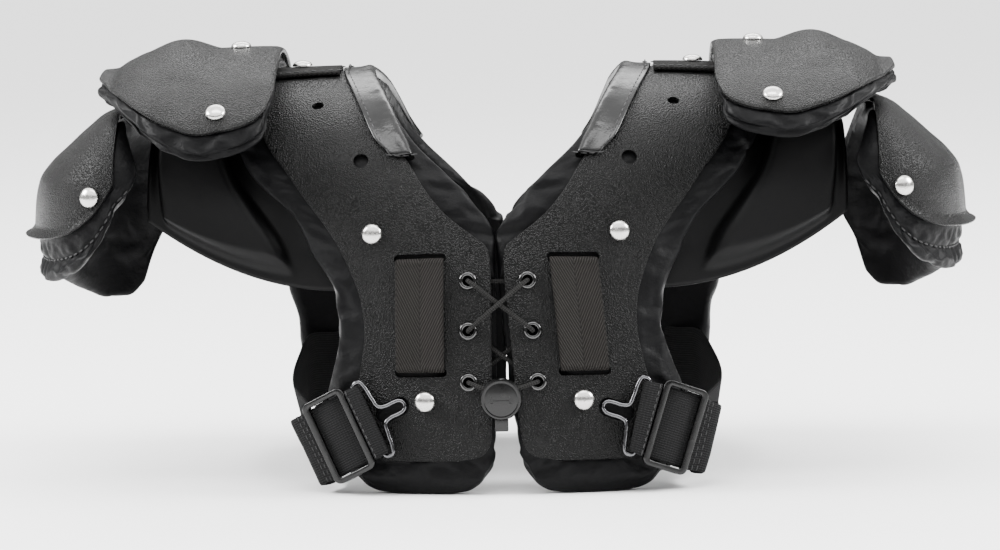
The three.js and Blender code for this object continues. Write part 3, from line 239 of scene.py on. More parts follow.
def row_at_height(z, front=True):
    """The row, with its share, where the arch reaches a height in front or behind."""
    rows = np.linspace(0 if front else LAST_ROW, TOP_ROW, 4001)
    return np.interp(z, section("rise", rows) * ARCH_HEIGHT, rows)


def arch_face(half, t, x):
    """The outer face of an arch plate, falling back on both sides of its proudest line."""
    before, after = np.maximum(t - 0.5, 0), np.minimum(t + 0.5, LAST_ROW)
    forward = (section("reach", before) - section("reach", after)) * FOOT_REACH
    upward = (section("rise", after) - section("rise", before)) * ARCH_HEIGHT
    length = np.hypot(forward, upward)
    reach = section("reach", t)
    rounding = lerp(TOP_ROUNDING, CHEST_ROUNDING, np.minimum(1, abs(reach)))
    fall = rounding * ((x - section("spine", t) * SHOULDER_REACH) / ROUNDING_SPAN) ** 2 / length
    return np.stack((
        x + section("swing", t) * half["foot_swing"],
        -reach * FOOT_REACH + upward * fall,
        section("rise", t) * ARCH_HEIGHT - forward * fall,
    ), -1)


def arch_frame(half, t, x):
    """Place, direction outward, direction up the arch, and normal."""
    t, x = np.broadcast_arrays(np.asarray(t, float), np.asarray(x, float))
    up = arch_face(half, np.minimum(t + 0.5, LAST_ROW), x) - arch_face(half, np.maximum(t - 0.5, 0), x)
    out = unit(arch_face(half, t, x + 0.5) - arch_face(half, t, x - 0.5))
    normal = unit(np.cross(out, up))
    return arch_face(half, t, x), out, unit(np.cross(normal, out)), normal


def on_arch(half, t, x, height):
    at, _, _, normal = arch_frame(half, t, x)
    return at + normal * np.asarray(height)[..., None]


def arch_spot(half, x, z, front=True):
    return arch_frame(half, row_at_height(z, front), x)


def frame_matrix(spot, half):
    """The matrix of a spot in the row frame, in metres."""
    at, out, up, normal = (np.asarray(v) for v in spot)
    m = np.eye(4)
    m[:3, 0], m[:3, 1], m[:3, 2], m[:3, 3] = out, up, normal, at * MM
    m = np.diag((half["sign"], 1, 1, 1)) @ m
    return Matrix(m.tolist())


def even_rows(first, last, step, length_at=0.3):
    """Rows between two of the arch's own, evenly spaced along it."""
    t = np.linspace(first, last, 2001)
    line = arch_face(HALVES[0], t, SHOULDER_REACH * length_at)
    run = np.concatenate(([0], np.cumsum(np.linalg.norm(np.diff(line, axis=0), axis=1))))
    return np.interp(np.linspace(0, run[-1], max(2, round(run[-1] / step)) + 1), run, t)


def keep(bm, name, material=None, smooth_under=None):
    """A bmesh as a scene object."""
    mesh = bpy.data.meshes.new(name)
    bm.to_mesh(mesh)
    bm.free()
    piece = bpy.data.objects.new(name, mesh)
    scene.collection.objects.link(piece)
    mesh.shade_smooth()
    if smooth_under is not None:
        mesh.set_sharp_from_angle(angle=math.radians(smooth_under))
    if material:
        mesh.materials.append(material)
    return piece


def skin(name, sign, rings, material, smooth_under=None):
    """A closed solid over rings of points in mm, mirrored for a half, with a UV map in metres.
    Its ends are closed by strips between each ring's two faces."""
    rings = np.array(rings) * MM
    rings[..., 0] *= sign
    rows, count = rings.shape[:2]
    around = np.linalg.norm(np.diff(rings, axis=1, append=rings[:, :1]), axis=2).mean(0)
    across = np.concatenate(([0], np.cumsum(around)))
    along = np.concatenate(([0], np.cumsum(np.linalg.norm(np.diff(rings, axis=0), axis=2).mean(1))))
    bm = bmesh.new()
    points = [[bm.verts.new(p) for p in ring] for ring in rings]
    uv = bm.loops.layers.uv.new("UVMap")
    for i in range(rows - 1):
        low, high = points[i], points[i + 1]
        for j in range(count):
            k = (j + 1) % count
            face = bm.faces.new((low[j], low[k], high[k], high[j]))
            places = ((j, i), (j + 1, i), (j + 1, i + 1), (j, i + 1))
            for loop, (column, row) in zip(face.loops, places):
                loop[uv].uv = (across[column], along[row])
    for ring, v in ((points[0], along[0]), (points[-1], along[-1])):
        for j in range(count // 2 - 1):
            corners = (j, j + 1, count - 2 - j, count - 1 - j)
            face = bm.faces.new([ring[c] for c in corners])
            for loop, c in zip(face.loops, corners):
                loop[uv].uv = (across[min(c, count - 1 - c)], v)
    bmesh.ops.recalc_face_normals(bm, faces=bm.faces)
    return keep(bm, name, material, smooth_under)


def wall_profile(count, depth, fillet):
    """Shares across, shifts towards the middle in mm and depths of a wall with round edges."""
    shares = list(np.linspace(0, 1, count))
    outer = [(s, 0.0, 0.0) for s in shares[1:-1]]
    inner = [(s, 0.0, depth) for s in reversed(shares[1:-1])]
    turn = [(math.sin(a), math.cos(a)) for a in np.radians((0, 30, 60, 90))]
    far = [(1, fillet * (1 - s), fillet * (1 - c)) for s, c in turn]
    far += [(1, fillet * (1 - s), depth - fillet * (1 - c)) for s, c in reversed(turn)]
    near = [(0, m, d) for _, m, d in reversed(far)]
    return outer + far + inner + near


def applied(piece):
    """Keeps in the piece's mesh what its modifiers make of it, and returns that mesh."""
    mesh = bpy.data.meshes.new_from_object(piece.evaluated_get(bpy.context.evaluated_depsgraph_get()))
    piece.modifiers.clear()
    old, piece.data = piece.data, mesh
    bpy.data.meshes.remove(old)
    mesh.shade_smooth()
    return mesh


def cut_holes(piece, cutters, smooth_under):
    """Takes closed shapes away from a piece."""
    bm = bmesh.new()
    for matrix, outline in cutters:
        low, high = ([bm.verts.new(matrix @ Vector((x * MM, y * MM, z * MM))) for x, y in outline]
                     for z in (-CUTTER_REACH, CUTTER_REACH))
        bm.faces.new(low)
        bm.faces.new(high)
        for j in range(len(outline)):
            k = (j + 1) % len(outline)
            bm.faces.new((low[j], low[k], high[k], high[j]))
    bmesh.ops.recalc_face_normals(bm, faces=bm.faces)
    cutter = keep(bm, "cutter")
    cutting = piece.modifiers.new("cutting", "BOOLEAN")
    cutting.operation, cutting.solver, cutting.object = "DIFFERENCE", "EXACT", cutter
    applied(piece).set_sharp_from_angle(angle=math.radians(smooth_under))
    bpy.data.objects.remove(cutter)


def round_outline(radius):
    return [(radius * math.cos(a), radius * math.sin(a)) for a in np.linspace(0, math.tau, 32, False)]


def slot_outline(length, width, turn=0.0):
    r = width / 2
    ends = [(length / 2 - r, a) for a in np.linspace(-90, 90, 13)]
    ends += [(r - length / 2, a) for a in np.linspace(90, 270, 13)]
    points = [(x + r * math.cos(math.radians(a)), r * math.sin(math.radians(a))) for x, a in ends]
    c, s = math.cos(math.radians(turn)), math.sin(math.radians(turn))
    return [(c * x - s * y, s * x + c * y) for x, y in points]


def belt_spot(half, along, across):
    tilt = math.radians(half["belt_tilt"])
    x = half["buckle_out"] + math.cos(BELT_LEAN) * (along * math.cos(tilt) + across * math.sin(tilt))
    z = half["buckle_rise"] - along * math.sin(tilt) + across * math.cos(tilt)
    return arch_frame(half, row_at_height(np.maximum(z, 0)), x)


def shader_group(name, inputs, outputs):
    """An empty shader node group with named inputs and outputs."""
    tree = bpy.data.node_groups.new(name, "ShaderNodeTree")
    for socket, kind, value in inputs:
        made = tree.interface.new_socket(socket, in_out="INPUT", socket_type=kind)
        if value is not None:
            made.default_value = value
    for socket, kind in outputs:
        tree.interface.new_socket(socket, in_out="OUTPUT", socket_type=kind)
    return tree, tree.nodes.new("NodeGroupInput"), tree.nodes.new("NodeGroupOutput")


def maths(tree, operation, a, b=None, c=None):
    """A Math node of one operation on sockets or numbers, and its result."""
    node = tree.nodes.new("ShaderNodeMath")
    node.operation = operation
    for i, value in enumerate((a, b, c)):
        if isinstance(value, bpy.types.NodeSocket):
            tree.links.new(value, node.inputs[i])
        elif value is not None:
            node.inputs[i].default_value = value
    return node.outputs[0]


def placed(tree, group, **values):
    """A node group in a tree, its inputs set from numbers or sockets."""
    node = tree.nodes.new("ShaderNodeGroup")
    node.node_tree = group
    for name, value in values.items():
        socket = node.inputs[name.replace("_", " ")]
        if isinstance(value, bpy.types.NodeSocket):
            tree.links.new(value, socket)
        else:
            socket.default_value = value
    return node


def noise(tree, vector, scale, detail=2.0, roughness=0.5, stretch=None):
    if stretch:
        mapping = sockets(tree.nodes, "ShaderNodeMapping", Scale=stretch)
        tree.links.new(vector, mapping.inputs["Vector"])
        vector = mapping.outputs["Vector"]
    node = sockets(tree.nodes, "ShaderNodeTexNoise", Scale=scale, Detail=detail, Roughness=roughness)
    tree.links.new(vector, node.inputs["Vector"])
    return node.outputs["Fac"]


def spread_over(tree, value, low, high, out_low, out_high):
    node = sockets(tree.nodes, "ShaderNodeMapRange",
                   From_Min=low, From_Max=high, To_Min=out_low, To_Max=out_high)
    tree.links.new(value, node.inputs["Value"])
    return node.outputs["Result"]


def tinted(tree, share, dark, light):
    """A colour between two by a share."""
    node = tree.nodes.new("ShaderNodeMix")
    node.data_type = "RGBA"
    node.inputs[6].default_value = (*dark, 1)
    node.inputs[7].default_value = (*light, 1)
    tree.links.new(share, node.inputs[0])
    return node.outputs[2]


def bumped(tree, shader, height, strength, distance):
    node = sockets(tree.nodes, "ShaderNodeBump", Strength=strength, Distance=distance)
    tree.links.new(height, node.inputs["Height"])
    tree.links.new(node.outputs["Normal"], shader.inputs["Normal"])


def coordinates(tree, kind="Object"):
    if kind == "UV":
        node = tree.nodes.new("ShaderNodeUVMap")
        node.uv_map = "UVMap"
        return node.outputs["UV"]
    return tree.nodes.new("ShaderNodeTexCoord").outputs[kind]


VECTOR, FLOAT = "NodeSocketVector", "NodeSocketFloat"


def pebble_grain_group():
    """Moulded pebble grain: small flat-topped bumps with finer grit between them."""
    tree, given, made = shader_group(
        "pebble grain",
        (("Vector", VECTOR, None), ("Scale", FLOAT, 900.0)), (("Height", FLOAT), ("Tops", FLOAT)))
    cells = tree.nodes.new("ShaderNodeTexVoronoi")
    cells.feature = "SMOOTH_F1"
    cells.inputs["Smoothness"].default_value = 0.6
    tree.links.new(given.outputs["Vector"], cells.inputs["Vector"])
    tree.links.new(given.outputs["Scale"], cells.inputs["Scale"])
    tops = spread_over(tree, cells.outputs["Distance"], 0.55, 0.1, 0, 1)
    grit = sockets(tree.nodes, "ShaderNodeTexNoise", Detail=3.0)
    tree.links.new(given.outputs["Vector"], grit.inputs["Vector"])
    tree.links.new(maths(tree, "MULTIPLY", given.outputs["Scale"], 1.7), grit.inputs["Scale"])
    height = maths(tree, "MULTIPLY_ADD", grit.outputs["Fac"], 0.5, tops)
    tree.links.new(height, made.inputs["Height"])
    tree.links.new(tops, made.inputs["Tops"])
    return tree


def handling_wear_group():
    """Faint scuffs and settled dust, as a mask."""
    tree, given, made = shader_group(
        "handling wear", (("Vector", VECTOR, None), ("Amount", FLOAT, 0.3)), (("Mask", FLOAT),))
    broad = noise(tree, given.outputs["Vector"], 14.0, 4.0, 0.6)
    fine = noise(tree, given.outputs["Vector"], 420.0, 2.0, 0.7)
    patches = spread_over(tree, broad, 0.45, 0.75, 0, 1)
    specks = spread_over(tree, fine, 0.52, 0.7, 0, 1)
    mask = maths(tree, "MULTIPLY", maths(tree, "MULTIPLY", patches, specks), given.outputs["Amount"])
    tree.links.new(mask, made.inputs["Mask"])
    return tree


PEBBLE_GRAIN = pebble_grain_group()
HANDLING_WEAR = handling_wear_group()


def grained_plastic():
    material, tree, shader = finish_of("black_grained_plastic", (0.004, 0.004, 0.0038), 0.3, gloss=0.15)
    where = coordinates(tree)
    grain = placed(tree, PEBBLE_GRAIN, Vector=where, Scale=1150.0)
    wear = placed(tree, HANDLING_WEAR, Vector=where, Amount=0.5)
    share = maths(tree, "MULTIPLY_ADD", grain.outputs["Tops"], 0.35, wear.outputs["Mask"])
    colour = tinted(tree, share, (0.0004, 0.0004, 0.0004), (0.006, 0.006, 0.0057))
    tree.links.new(colour, shader.inputs["Base Color"])
    rough = spread_over(tree, noise(tree, where, 60.0, 3.0), 0.3, 0.7, 0.26, 0.4)
    tree.links.new(rough, shader.inputs["Roughness"])
    bumped(tree, shader, grain.outputs["Height"], 1.0, 0.0005)
    return material


GRAINED_PLASTIC = grained_plastic()


def plate_rings(half):
    profile = wall_profile(34, PLATE, EDGE_ROUNDING)
    share, shift, depth = (np.array(v) for v in zip(*profile))
    sign = np.where(share == 1, -1, np.where(share == 0, 1, 0))
    rows = np.concatenate((
        np.linspace(FIRST_PLATE_ROW, FIRST_PLATE_ROW + 3, 25)[:-1],
        even_rows(FIRST_PLATE_ROW + 3, LAST_PLATE_ROW - 3, 3.0),
        np.linspace(LAST_PLATE_ROW - 3, LAST_PLATE_ROW, 25)[1:],
    ))
    rings = []
    for i, t in enumerate(rows):
        inner, outer = section("inner", t) * SHOULDER_REACH, section("outer", t) * SHOULDER_REACH
        x = lerp(inner, outer, share) + sign * shift
        at_end = i in (0, len(rows) - 1)
        deep = lerp(PLATE / 2, depth, 0.6) if at_end else depth
        rings.append(on_arch(half, t, x, -deep))
    return rings


def arch_plate(half):
    piece = skin(f"arch_plate_{half['tag']}_moulded", half["sign"], plate_rings(half), GRAINED_PLASTIC)
    cutters = []
    for z in CHEST_EYELETS:
        cutters.append((frame_matrix(arch_spot(half, EYELET_X, z), half), round_outline(LACE_HOLE)))
    for z in BACK_EYELETS:
        cutters.append((frame_matrix(arch_spot(half, EYELET_X, z, False), half), round_outline(LACE_HOLE)))
    for x, z, radius in ADJUSTER_HOLES:
        cutters.append((frame_matrix(arch_spot(half, x, z), half), round_outline(radius)))
    for z in (WEB["low"] - WEB["slot"] / 2, WEB["high"] + WEB["slot"] / 2):
        outline = slot_outline(WEB["width"] + 2.4, WEB["slot"])
        cutters.append((frame_matrix(arch_spot(half, WEB["x"], z), half), outline))
    middle = (HOOK_SLOT["start"] + HOOK_SLOT["end"]) / 2
    outline = slot_outline(HOOK_SLOT["end"] - HOOK_SLOT["start"], HOOK_SLOT["width"], -half["belt_tilt"])
    cutters.append((frame_matrix(belt_spot(half, -middle, 0), half), outline))
    cut_holes(piece, cutters, 40)
    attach(piece, "root")
    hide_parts(f"arch_plate_{half['tag']}")


for half in HALVES:
    arch_plate(half)

# Body pads: the thick foam pads under the arch plates, each in a tight nylon cover that is
# sewn shut round the rim. They stand out past the plate on every side, where the cover
# puffs up and puckers, and they carry the whole set when it stands on its feet.
BODY_FOAM = 12.0
LACE_ROOM, LACED = 4.6, (38, 118)
COLLAR_ROOM, COLLAR_FOOT = 2.6, 171
PAD_STEP = 3.1
CLOTH_STEPS = 20
SEAM_SLACK = 0.15
MEETING = dict(low=22, high=150, fade=14, gap=1, width=14, bulge=1.7, left=0.5)
PAD_ROUND = np.radians((0, 25, 50, 75, 105, 130, 155, 180))


def pad_profile(count):
    """Shares across, how far a point lies in from the rim, and its depth share, for a pad."""
    top = [(s, 0.0, 0.0) for s in np.linspace(0, 1, count)]
    far = [(1, 1 - math.sin(a), (1 - math.cos(a)) / 2) for a in PAD_ROUND]
    under = [(s, 0.0, 1.0) for s, _, _ in reversed(top)]
    near = [(0, inset, deep) for _, inset, deep in reversed(far)]
    return top[1:-1] + far + under[1:-1] + near


def woven_nylon():
    """Tight shiny nylon: a fine weave, broad slack creases and a soft sheen on its edges."""
    material, tree, shader = finish_of("black_nylon_cover", (0.001, 0.001, 0.0012), 0.45, gloss=0.1)
    where = coordinates(tree)
    weave = noise(tree, where, 2600.0, 1.0)
    crumple = noise(tree, where, 46.0, 4.0, 0.55, stretch=(1.0, 1.0, 1.6))
    pull = noise(tree, where, 130.0, 3.0, 0.6)
    share = maths(tree, "MULTIPLY_ADD", weave, 0.5, maths(tree, "MULTIPLY", crumple, 0.6))
    colour = tinted(tree, share, (0.0004, 0.0004, 0.0005), (0.002, 0.002, 0.0024))
    tree.links.new(colour, shader.inputs["Base Color"])
    rough = spread_over(tree, pull, 0.3, 0.7, 0.42, 0.6)
    tree.links.new(rough, shader.inputs["Roughness"])
    creases = maths(tree, "MULTIPLY_ADD", pull, 0.35, crumple)
    height = maths(tree, "MULTIPLY_ADD", weave, 0.05, creases)
    bumped(tree, shader, height, 0.65, 0.0022)
    return material


NYLON = woven_nylon()


def swell(piece, loose, push, gather, most):
    """Blows the loose points of a pad up by cloth simulation and keeps each within most metres.
    gather is how much more cloth there is than the seams need, which puckers along them."""
    start = points_of(piece)
    group = piece.vertex_groups.new(name="held")
    held = np.round(1 - np.clip(loose, 0, 1), 1)
    for weight in np.unique(held):
        group.add(np.flatnonzero(held == weight).tolist(), float(weight), "REPLACE")
    cloth = piece.modifiers.new("cloth", "CLOTH")
    settings = cloth.settings
    settings.quality = 5
    settings.mass = 0.25
    settings.tension_stiffness = settings.compression_stiffness = 12
    settings.shear_stiffness = 4
    settings.bending_stiffness = 0.08
    settings.use_pressure = True
    settings.uniform_pressure_force = push
    settings.shrink_min = settings.shrink_max = -gather
    settings.vertex_group_mass = "held"
    settings.effector_weights.gravity = 0
    cloth.collision_settings.use_collision = False
    cloth.point_cache.frame_start, cloth.point_cache.frame_end = 1, CLOTH_STEPS
    for step in range(1, CLOTH_STEPS + 1):
        scene.frame_set(step)
    evaluated = piece.evaluated_get(bpy.context.evaluated_depsgraph_get())
    end = np.empty_like(start).ravel()
    evaluated.data.vertices.foreach_get("co", end)
    end = end.reshape(-1, 3)
    piece.modifiers.remove(cloth)
    piece.vertex_groups.remove(group)
    scene.frame_set(1)
    move = np.nan_to_num(end - start)
    length = np.linalg.norm(move, axis=1, keepdims=True)
    reach = most * np.clip(np.asarray(loose).reshape(-1, 1), 0, 1)
    move *= reach * np.tanh(length / np.maximum(reach, 1e-9)) / np.maximum(length, 1e-9)
    place_points(piece, start + move)


def place_points(piece, points):
    piece.data.vertices.foreach_set("co", np.ascontiguousarray(points, float).ravel())
    piece.data.update()


def points_of(piece):
    points = np.empty(len(piece.data.vertices) * 3)
    piece.data.vertices.foreach_get("co", points)
    return points.reshape(-1, 3)


def refine(piece):
    """One round of subdivision, kept in the mesh."""
    finer = piece.modifiers.new("finer", "SUBSURF")
    finer.levels = finer.render_levels = 1
    applied(piece)


def body_pad(half):
    share, _, deep = (np.array(v) for v in zip(*pad_profile(34)))
    radius = BODY_FOAM / 2
    inward = np.where(share == 1, -1, np.where(share == 0, 1, 0))
    rows = np.concatenate((
        np.linspace(0, 4, 13)[:-1],
        even_rows(4, 36, PAD_STEP, 0.45),
        np.linspace(36, 40, 13)[1:],
    ))
    rings, loose = [], []
    for t in rows:
        inner, outer = section("pad_inner", t) * SHOULDER_REACH, section("pad_outer", t) * SHOULDER_REACH
        height = section("rise", t) * ARCH_HEIGHT
        rim = inward * (1 - np.sin(np.arccos(np.clip(1 - 2 * deep, -1, 1)))) * radius
        x = np.where((share > 0) & (share < 1), lerp(inner + radius, outer - radius, share), 0)
        x = np.where(share == 1, outer + rim, np.where(share == 0, inner + rim, x))
        room = 0
        if LACED[0] < height < LACED[1]:
            room = LACE_ROOM * ease(min(height - LACED[0], LACED[1] - height) / 8)
        elif height > COLLAR_FOOT - 12:
            room = COLLAR_ROOM * ease((height - COLLAR_FOOT + 12) / 8)
        hollow = room * ease((inner + 34 - x) / 14)
        foot = ease(height / 9)
        depth = PLATE + GAP + np.maximum(deep * BODY_FOAM, hollow)
        middle = PLATE + GAP + BODY_FOAM / 2
        depth = lerp(lerp(middle, depth, 0.55), depth, foot)
        ring = on_arch(half, t, x, -depth)
        ring[:, 2] = np.maximum(ring[:, 2], 0.4)
        rings.append(ring)
        plate_in, plate_out = section("inner", t) * SHOULDER_REACH, section("outer", t) * SHOULDER_REACH
        past = np.maximum(plate_in - x, x - plate_out)
        if t < FIRST_PLATE_ROW or t > LAST_PLATE_ROW:
            past = np.full_like(x, 8.0)
        free = np.where(deep < 0.35, ease((past - 1) / 5), 1)
        seam = np.where((deep > 0.4) & (deep < 0.6), SEAM_SLACK, 1)
        if height < 5:
            free = free * 0.2
        loose.append(free * seam * (1 if room == 0 else np.where(x < inner + 30, SEAM_SLACK, 1)))
    piece = skin(f"body_pad_{half['tag']}_cover", half["sign"], rings, NYLON)
    swell(piece, np.concatenate(loose), 5.0, 0.07, 0.0042)
    points = points_of(piece)
    points[:, 2] = np.maximum(points[:, 2], 0.0004)
    low = (points[:, 2] / MM - MEETING["low"]) / MEETING["fade"]
    high = (MEETING["high"] - points[:, 2] / MM) / MEETING["fade"]
    near = ease(low) * ease(high) * ease(1 - (np.abs(points[:, 0]) / MM - MEETING["gap"]) / MEETING["width"])
    reach = np.maximum(0, np.abs(points[:, 0]) - MEETING["left"] * MM)
    points[:, 0] -= np.sign(points[:, 0]) * near * np.minimum(reach, MEETING["bulge"] * MM)
    place_points(piece, points)
    refine(piece)
    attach(piece, "root")
    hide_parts(f"body_pad_{half['tag']}")


for half in HALVES:
    body_pad(half)

# Saddle pads: stiff flaps of smooth moulded foam sewn under the outer edge of the body pads.
# They arch over the upper arm between chest and back, with a raised middle, a pressed
# step round it and a thin rim at the tip beside the cup.
CUP_HEIGHT = ARCH_HEIGHT - 15.5
SADDLE = dict(tip_out=180, tip_reach=60, sag=9, tip_low=0.665 * CUP_HEIGHT, tip_high=0.936 * CUP_HEIGHT,
              bend=0.92, swell=9, foam=9)
SADDLE_DEPTH = PLATE + GAP + BODY_FOAM + 2 * GAP
SADDLE_STATIONS = (0, 0.05, 0.11, 0.17, 0.22, 0.27, 0.55, 0.84, 0.885, 0.92, 0.96, 1)
SADDLE_SWELL = (0, 0.0, 0.03, 0.12, 0.85, 1.0, 1.04, 0.86, 0.72, 0.08, 0.0, 0)
SADDLE_FOAM = (0.7, 0.85, 0.95, 1, 1, 1, 1, 0.9, 0.8, 0.5, 0.42, 0.36)
SADDLE_RIM = (0.51, 0.5)


def moulded_foam():
    """Skinned foam: dull black with faint pores and slow unevenness from the mould."""
    material, tree, shader = finish_of("black_moulded_foam", (0.0015, 0.0015, 0.0016), 0.46, gloss=0.14)
    where = coordinates(tree)
    pores = noise(tree, where, 1500.0, 2.0)
    slow = noise(tree, where, 22.0, 3.0)
    wear = placed(tree, HANDLING_WEAR, Vector=where, Amount=0.35)
    share = maths(tree, "ADD", maths(tree, "MULTIPLY", pores, 0.4), wear.outputs["Mask"])
    tree.links.new(tinted(tree, share, (0.0005, 0.0005, 0.0006), (0.0025, 0.0025, 0.0027)),
                   shader.inputs["Base Color"])
    tree.links.new(spread_over(tree, slow, 0.3, 0.7, 0.42, 0.58), shader.inputs["Roughness"])
    height = maths(tree, "MULTIPLY_ADD", slow, 4.0, pores)
    bumped(tree, shader, height, 0.35, 0.0002)
    return material


MOULDED_FOAM = moulded_foam()


def saddle_pad(half):
    rows = even_rows(row_at_height(SADDLE_RIM[0] * ARCH_HEIGHT),
                     row_at_height(SADDLE_RIM[1] * ARCH_HEIGHT, False), 2.6, 0.8)
    shares = np.linspace(0, 1, 71)
    tall = through(SADDLE_STATIONS, SADDLE_SWELL, shares) * SADDLE["swell"]
    deep = through(SADDLE_STATIONS, SADDLE_FOAM, shares) * SADDLE["foam"]
    rings = []
    for i, t in enumerate(rows):
        x = section("pad_outer", t) * SHOULDER_REACH
        at, _, _, normal = arch_frame(half, t, x)
        near_end = min(i, len(rows) - 1 - i)
        step = ease((near_end - 2) / 5)
        thin = lerp(0.35, 1, ease(near_end / 4))
        root = at - normal * SADDLE_DEPTH
        bend = float(np.clip(section("reach", t) / SADDLE["bend"], -1, 1))
        tip = np.array((SADDLE["tip_out"], -SADDLE["tip_reach"] * bend,
                        lerp(SADDLE["tip_low"], SADDLE["tip_high"], math.sqrt(1 - bend * bend))))
        lap = on_arch(half, t, x - 8, -SADDLE_DEPTH)
        droop = np.zeros((len(shares), 3))
        droop[:, 2] = -4 * shares * (1 - shares) * bend ** 2 * SADDLE["sag"]
        top = root + (tip - root) * shares[:, None] + normal * (tall * step)[:, None] + droop
        under = top - normal * (deep * thin)[:, None]
        middle = (top[-1] + under[-1]) / 2
        outward = unit(tip - root) * (np.linalg.norm(top[-1] - under[-1]) / 2)
        rim = middle + outward
        start = (lap, lap - normal * 4.5)
        lift = (top[-1] - under[-1]) * 0.2
        rings.append(np.vstack((start[0], top, rim + lift, rim - lift, under[::-1], start[1])))
    piece = skin(f"saddle_pad_{half['tag']}_moulded", half["sign"], rings, MOULDED_FOAM)
    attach(piece, "root")
    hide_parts(f"saddle_pad_{half['tag']}")


for half in HALVES:
    saddle_pad(half)

# Shoulder caps: a grained plastic shell over the point of each shoulder, bent front to back,
# with a low dome, a raised ridge at its inner side and a flat lip towards the arm.
CAP_PLATE = 2.2
CAP = dict(inner=113, outer=208, half=94.5, sink=11, foam=9, margin=7, deck=125)
CAP_DOME = dict(x=165, half_width=19, half_length=62, height=4.5)
CAP_ACROSS = (0, 0.035, 0.12, 0.25, 0.4, 0.56, 0.72, 0.86, 0.93, 1)
CAP_HALF = (0.7, 0.86, 0.945, 0.985, 1, 0.96, 0.86, 0.65, 0.47, 0.28)
CAP_SINK = (0.15, 0.02, 0, 0.02, 0.06, 0.02, 0.12, 0.6, 0.95, 1)
STRAP = dict(width=36, thickness=2.5, lift=0.45, start=0.615 * SHOULDER_REACH, end=201, rivet_x=103,
             landing=0.85)


def cap_top(half):
    strap_top = on_arch(half, TOP_ROW, CAP["deck"], STRAP["lift"] + STRAP["thickness"])[2]
    return strap_top + 3 * GAP + CAP["foam"] + CAP_PLATE


def cap_face(half, x, y):
    sink = through(CAP_ACROSS, CAP_SINK, (x - CAP["inner"]) / (CAP["outer"] - CAP["inner"]))
    across = np.maximum(0, 1 - ((x - CAP_DOME["x"]) / CAP_DOME["half_width"]) ** 2)
    dome = across ** 1.5 * np.maximum(0, 1 - (y / CAP_DOME["half_length"]) ** 2)
    bend = half["cap_bend"] - np.sqrt(half["cap_bend"] ** 2 - y ** 2)
    return np.stack((x, y, cap_top(half) - sink * CAP["sink"] + dome * CAP_DOME["height"] - bend), -1)


def cap_frame(half, x, y):
    x, y = np.broadcast_arrays(np.asarray(x, float), np.asarray(y, float))
    along = cap_face(half, x, y + 1) - cap_face(half, x, y - 1)
    across = cap_face(half, x + 1, y) - cap_face(half, x - 1, y)
    normal = unit(np.cross(across, along))
    out = unit(np.cross((0, 1, 0), normal))
    return cap_face(half, x, y), out, unit(np.cross(normal, out)), normal


def cap_rings(half, rows, profile, depth_at):
    share, shift, deep = (np.array(v) for v in zip(*profile))
    sign = np.where(share == 1, -1, np.where(share == 0, 1, 0))
    rings = []
    for row in rows:
        x = lerp(CAP["inner"], CAP["outer"], share) + sign * shift
        across = np.clip((x - CAP["inner"]) / (CAP["outer"] - CAP["inner"]), 0, 1)
        beyond = max(0.0, abs(row) - 1) * CAP["margin"]
        y = np.sign(row) * (min(1, abs(row)) * through(CAP_ACROSS, CAP_HALF, across) * CAP["half"] + beyond)
        at, _, _, normal = cap_frame(half, x, y)
        rings.append(at - normal * depth_at(row, deep)[:, None])
    return rings


def cap_plate(half):
    rows = np.concatenate(((-1,), np.linspace(-0.985, 0.985, 91), (1,)))

    def depth_at(row, deep):
        return lerp(CAP_PLATE / 2, deep, 0.6) if abs(row) == 1 else deep

    rings = cap_rings(half, rows, wall_profile(52, CAP_PLATE, EDGE_ROUNDING), depth_at)
    piece = skin(f"cap_plate_{half['tag']}_moulded", half["sign"], rings, GRAINED_PLASTIC, 50)
    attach(piece, "root")
    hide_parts(f"cap_plate_{half['tag']}")


for half in HALVES:
    cap_plate(half)


# Cap pads: nylon over foam, sewn to the underside of each shoulder cap. They stick out a
# little in front and behind, where the cover is pleated to follow the bend.
def cap_pad(half):
    rows = np.concatenate((np.linspace(-2, -1, 7)[:-1], np.linspace(-1, 1, 67), np.linspace(1, 2, 7)[1:]))
    profile = [(s, 6 * i if s in (0, 1) else i, d) for s, i, d in pad_profile(32)]
    start = CAP_PLATE + GAP
    radius = CAP["foam"] / 2

    def depth_at(row, deep):
        beyond = max(0.0, abs(row) - 1)
        thin = math.sqrt(max(0.06, 1 - beyond ** 2))
        return start + radius + (deep - 0.5) * CAP["foam"] * thin

    rings = cap_rings(half, rows, profile, depth_at)
    piece = skin(f"cap_pad_{half['tag']}_cover", half["sign"], rings, NYLON)
    deep = np.array([depth for _, _, depth in profile])
    loose = []
    for row in rows:
        under = np.where(deep > 0.6, 1, 0.0)
        edge = 1.0 if abs(row) > 1.15 else 0.0
        rim = np.where((deep > 0.4) & (deep < 0.6), SEAM_SLACK, 1)
        loose.append(np.maximum(under, edge) * rim * (0.1 if abs(row) > 1.9 else 1))
    swell(piece, np.concatenate(loose), 5.0, 0.08, 0.0035)
    refine(piece)
    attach(piece, "root")
    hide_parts(f"cap_pad_{half['tag']}")


for half in HALVES:
    cap_pad(half)

# Cup plates: a bowl of the same grained plastic that hangs below each cap over the outside
# of the arm, with its lower lip turned out.
CUP = dict(middle=196, height=CUP_HEIGHT, half=80, out=50.5, flare=5, foam=8)
CUP_RISE = (0.4, 0.563, 0.65, 0.742, 0.803, 0.85, 0.89, 0.945, 0.984, 1)
CUP_OUT = (0.92, 0.98, 1, 0.98, 0.93, 0.8, 0.63, 0.39, 0.17, -0.16)
CUP_HALF = (0.95, 0.985, 1, 1, 0.985, 0.945, 0.875, 0.72, 0.5, 0.34)
CUP_LOW = dict(middle=0.655, rise=0.16, power=5)


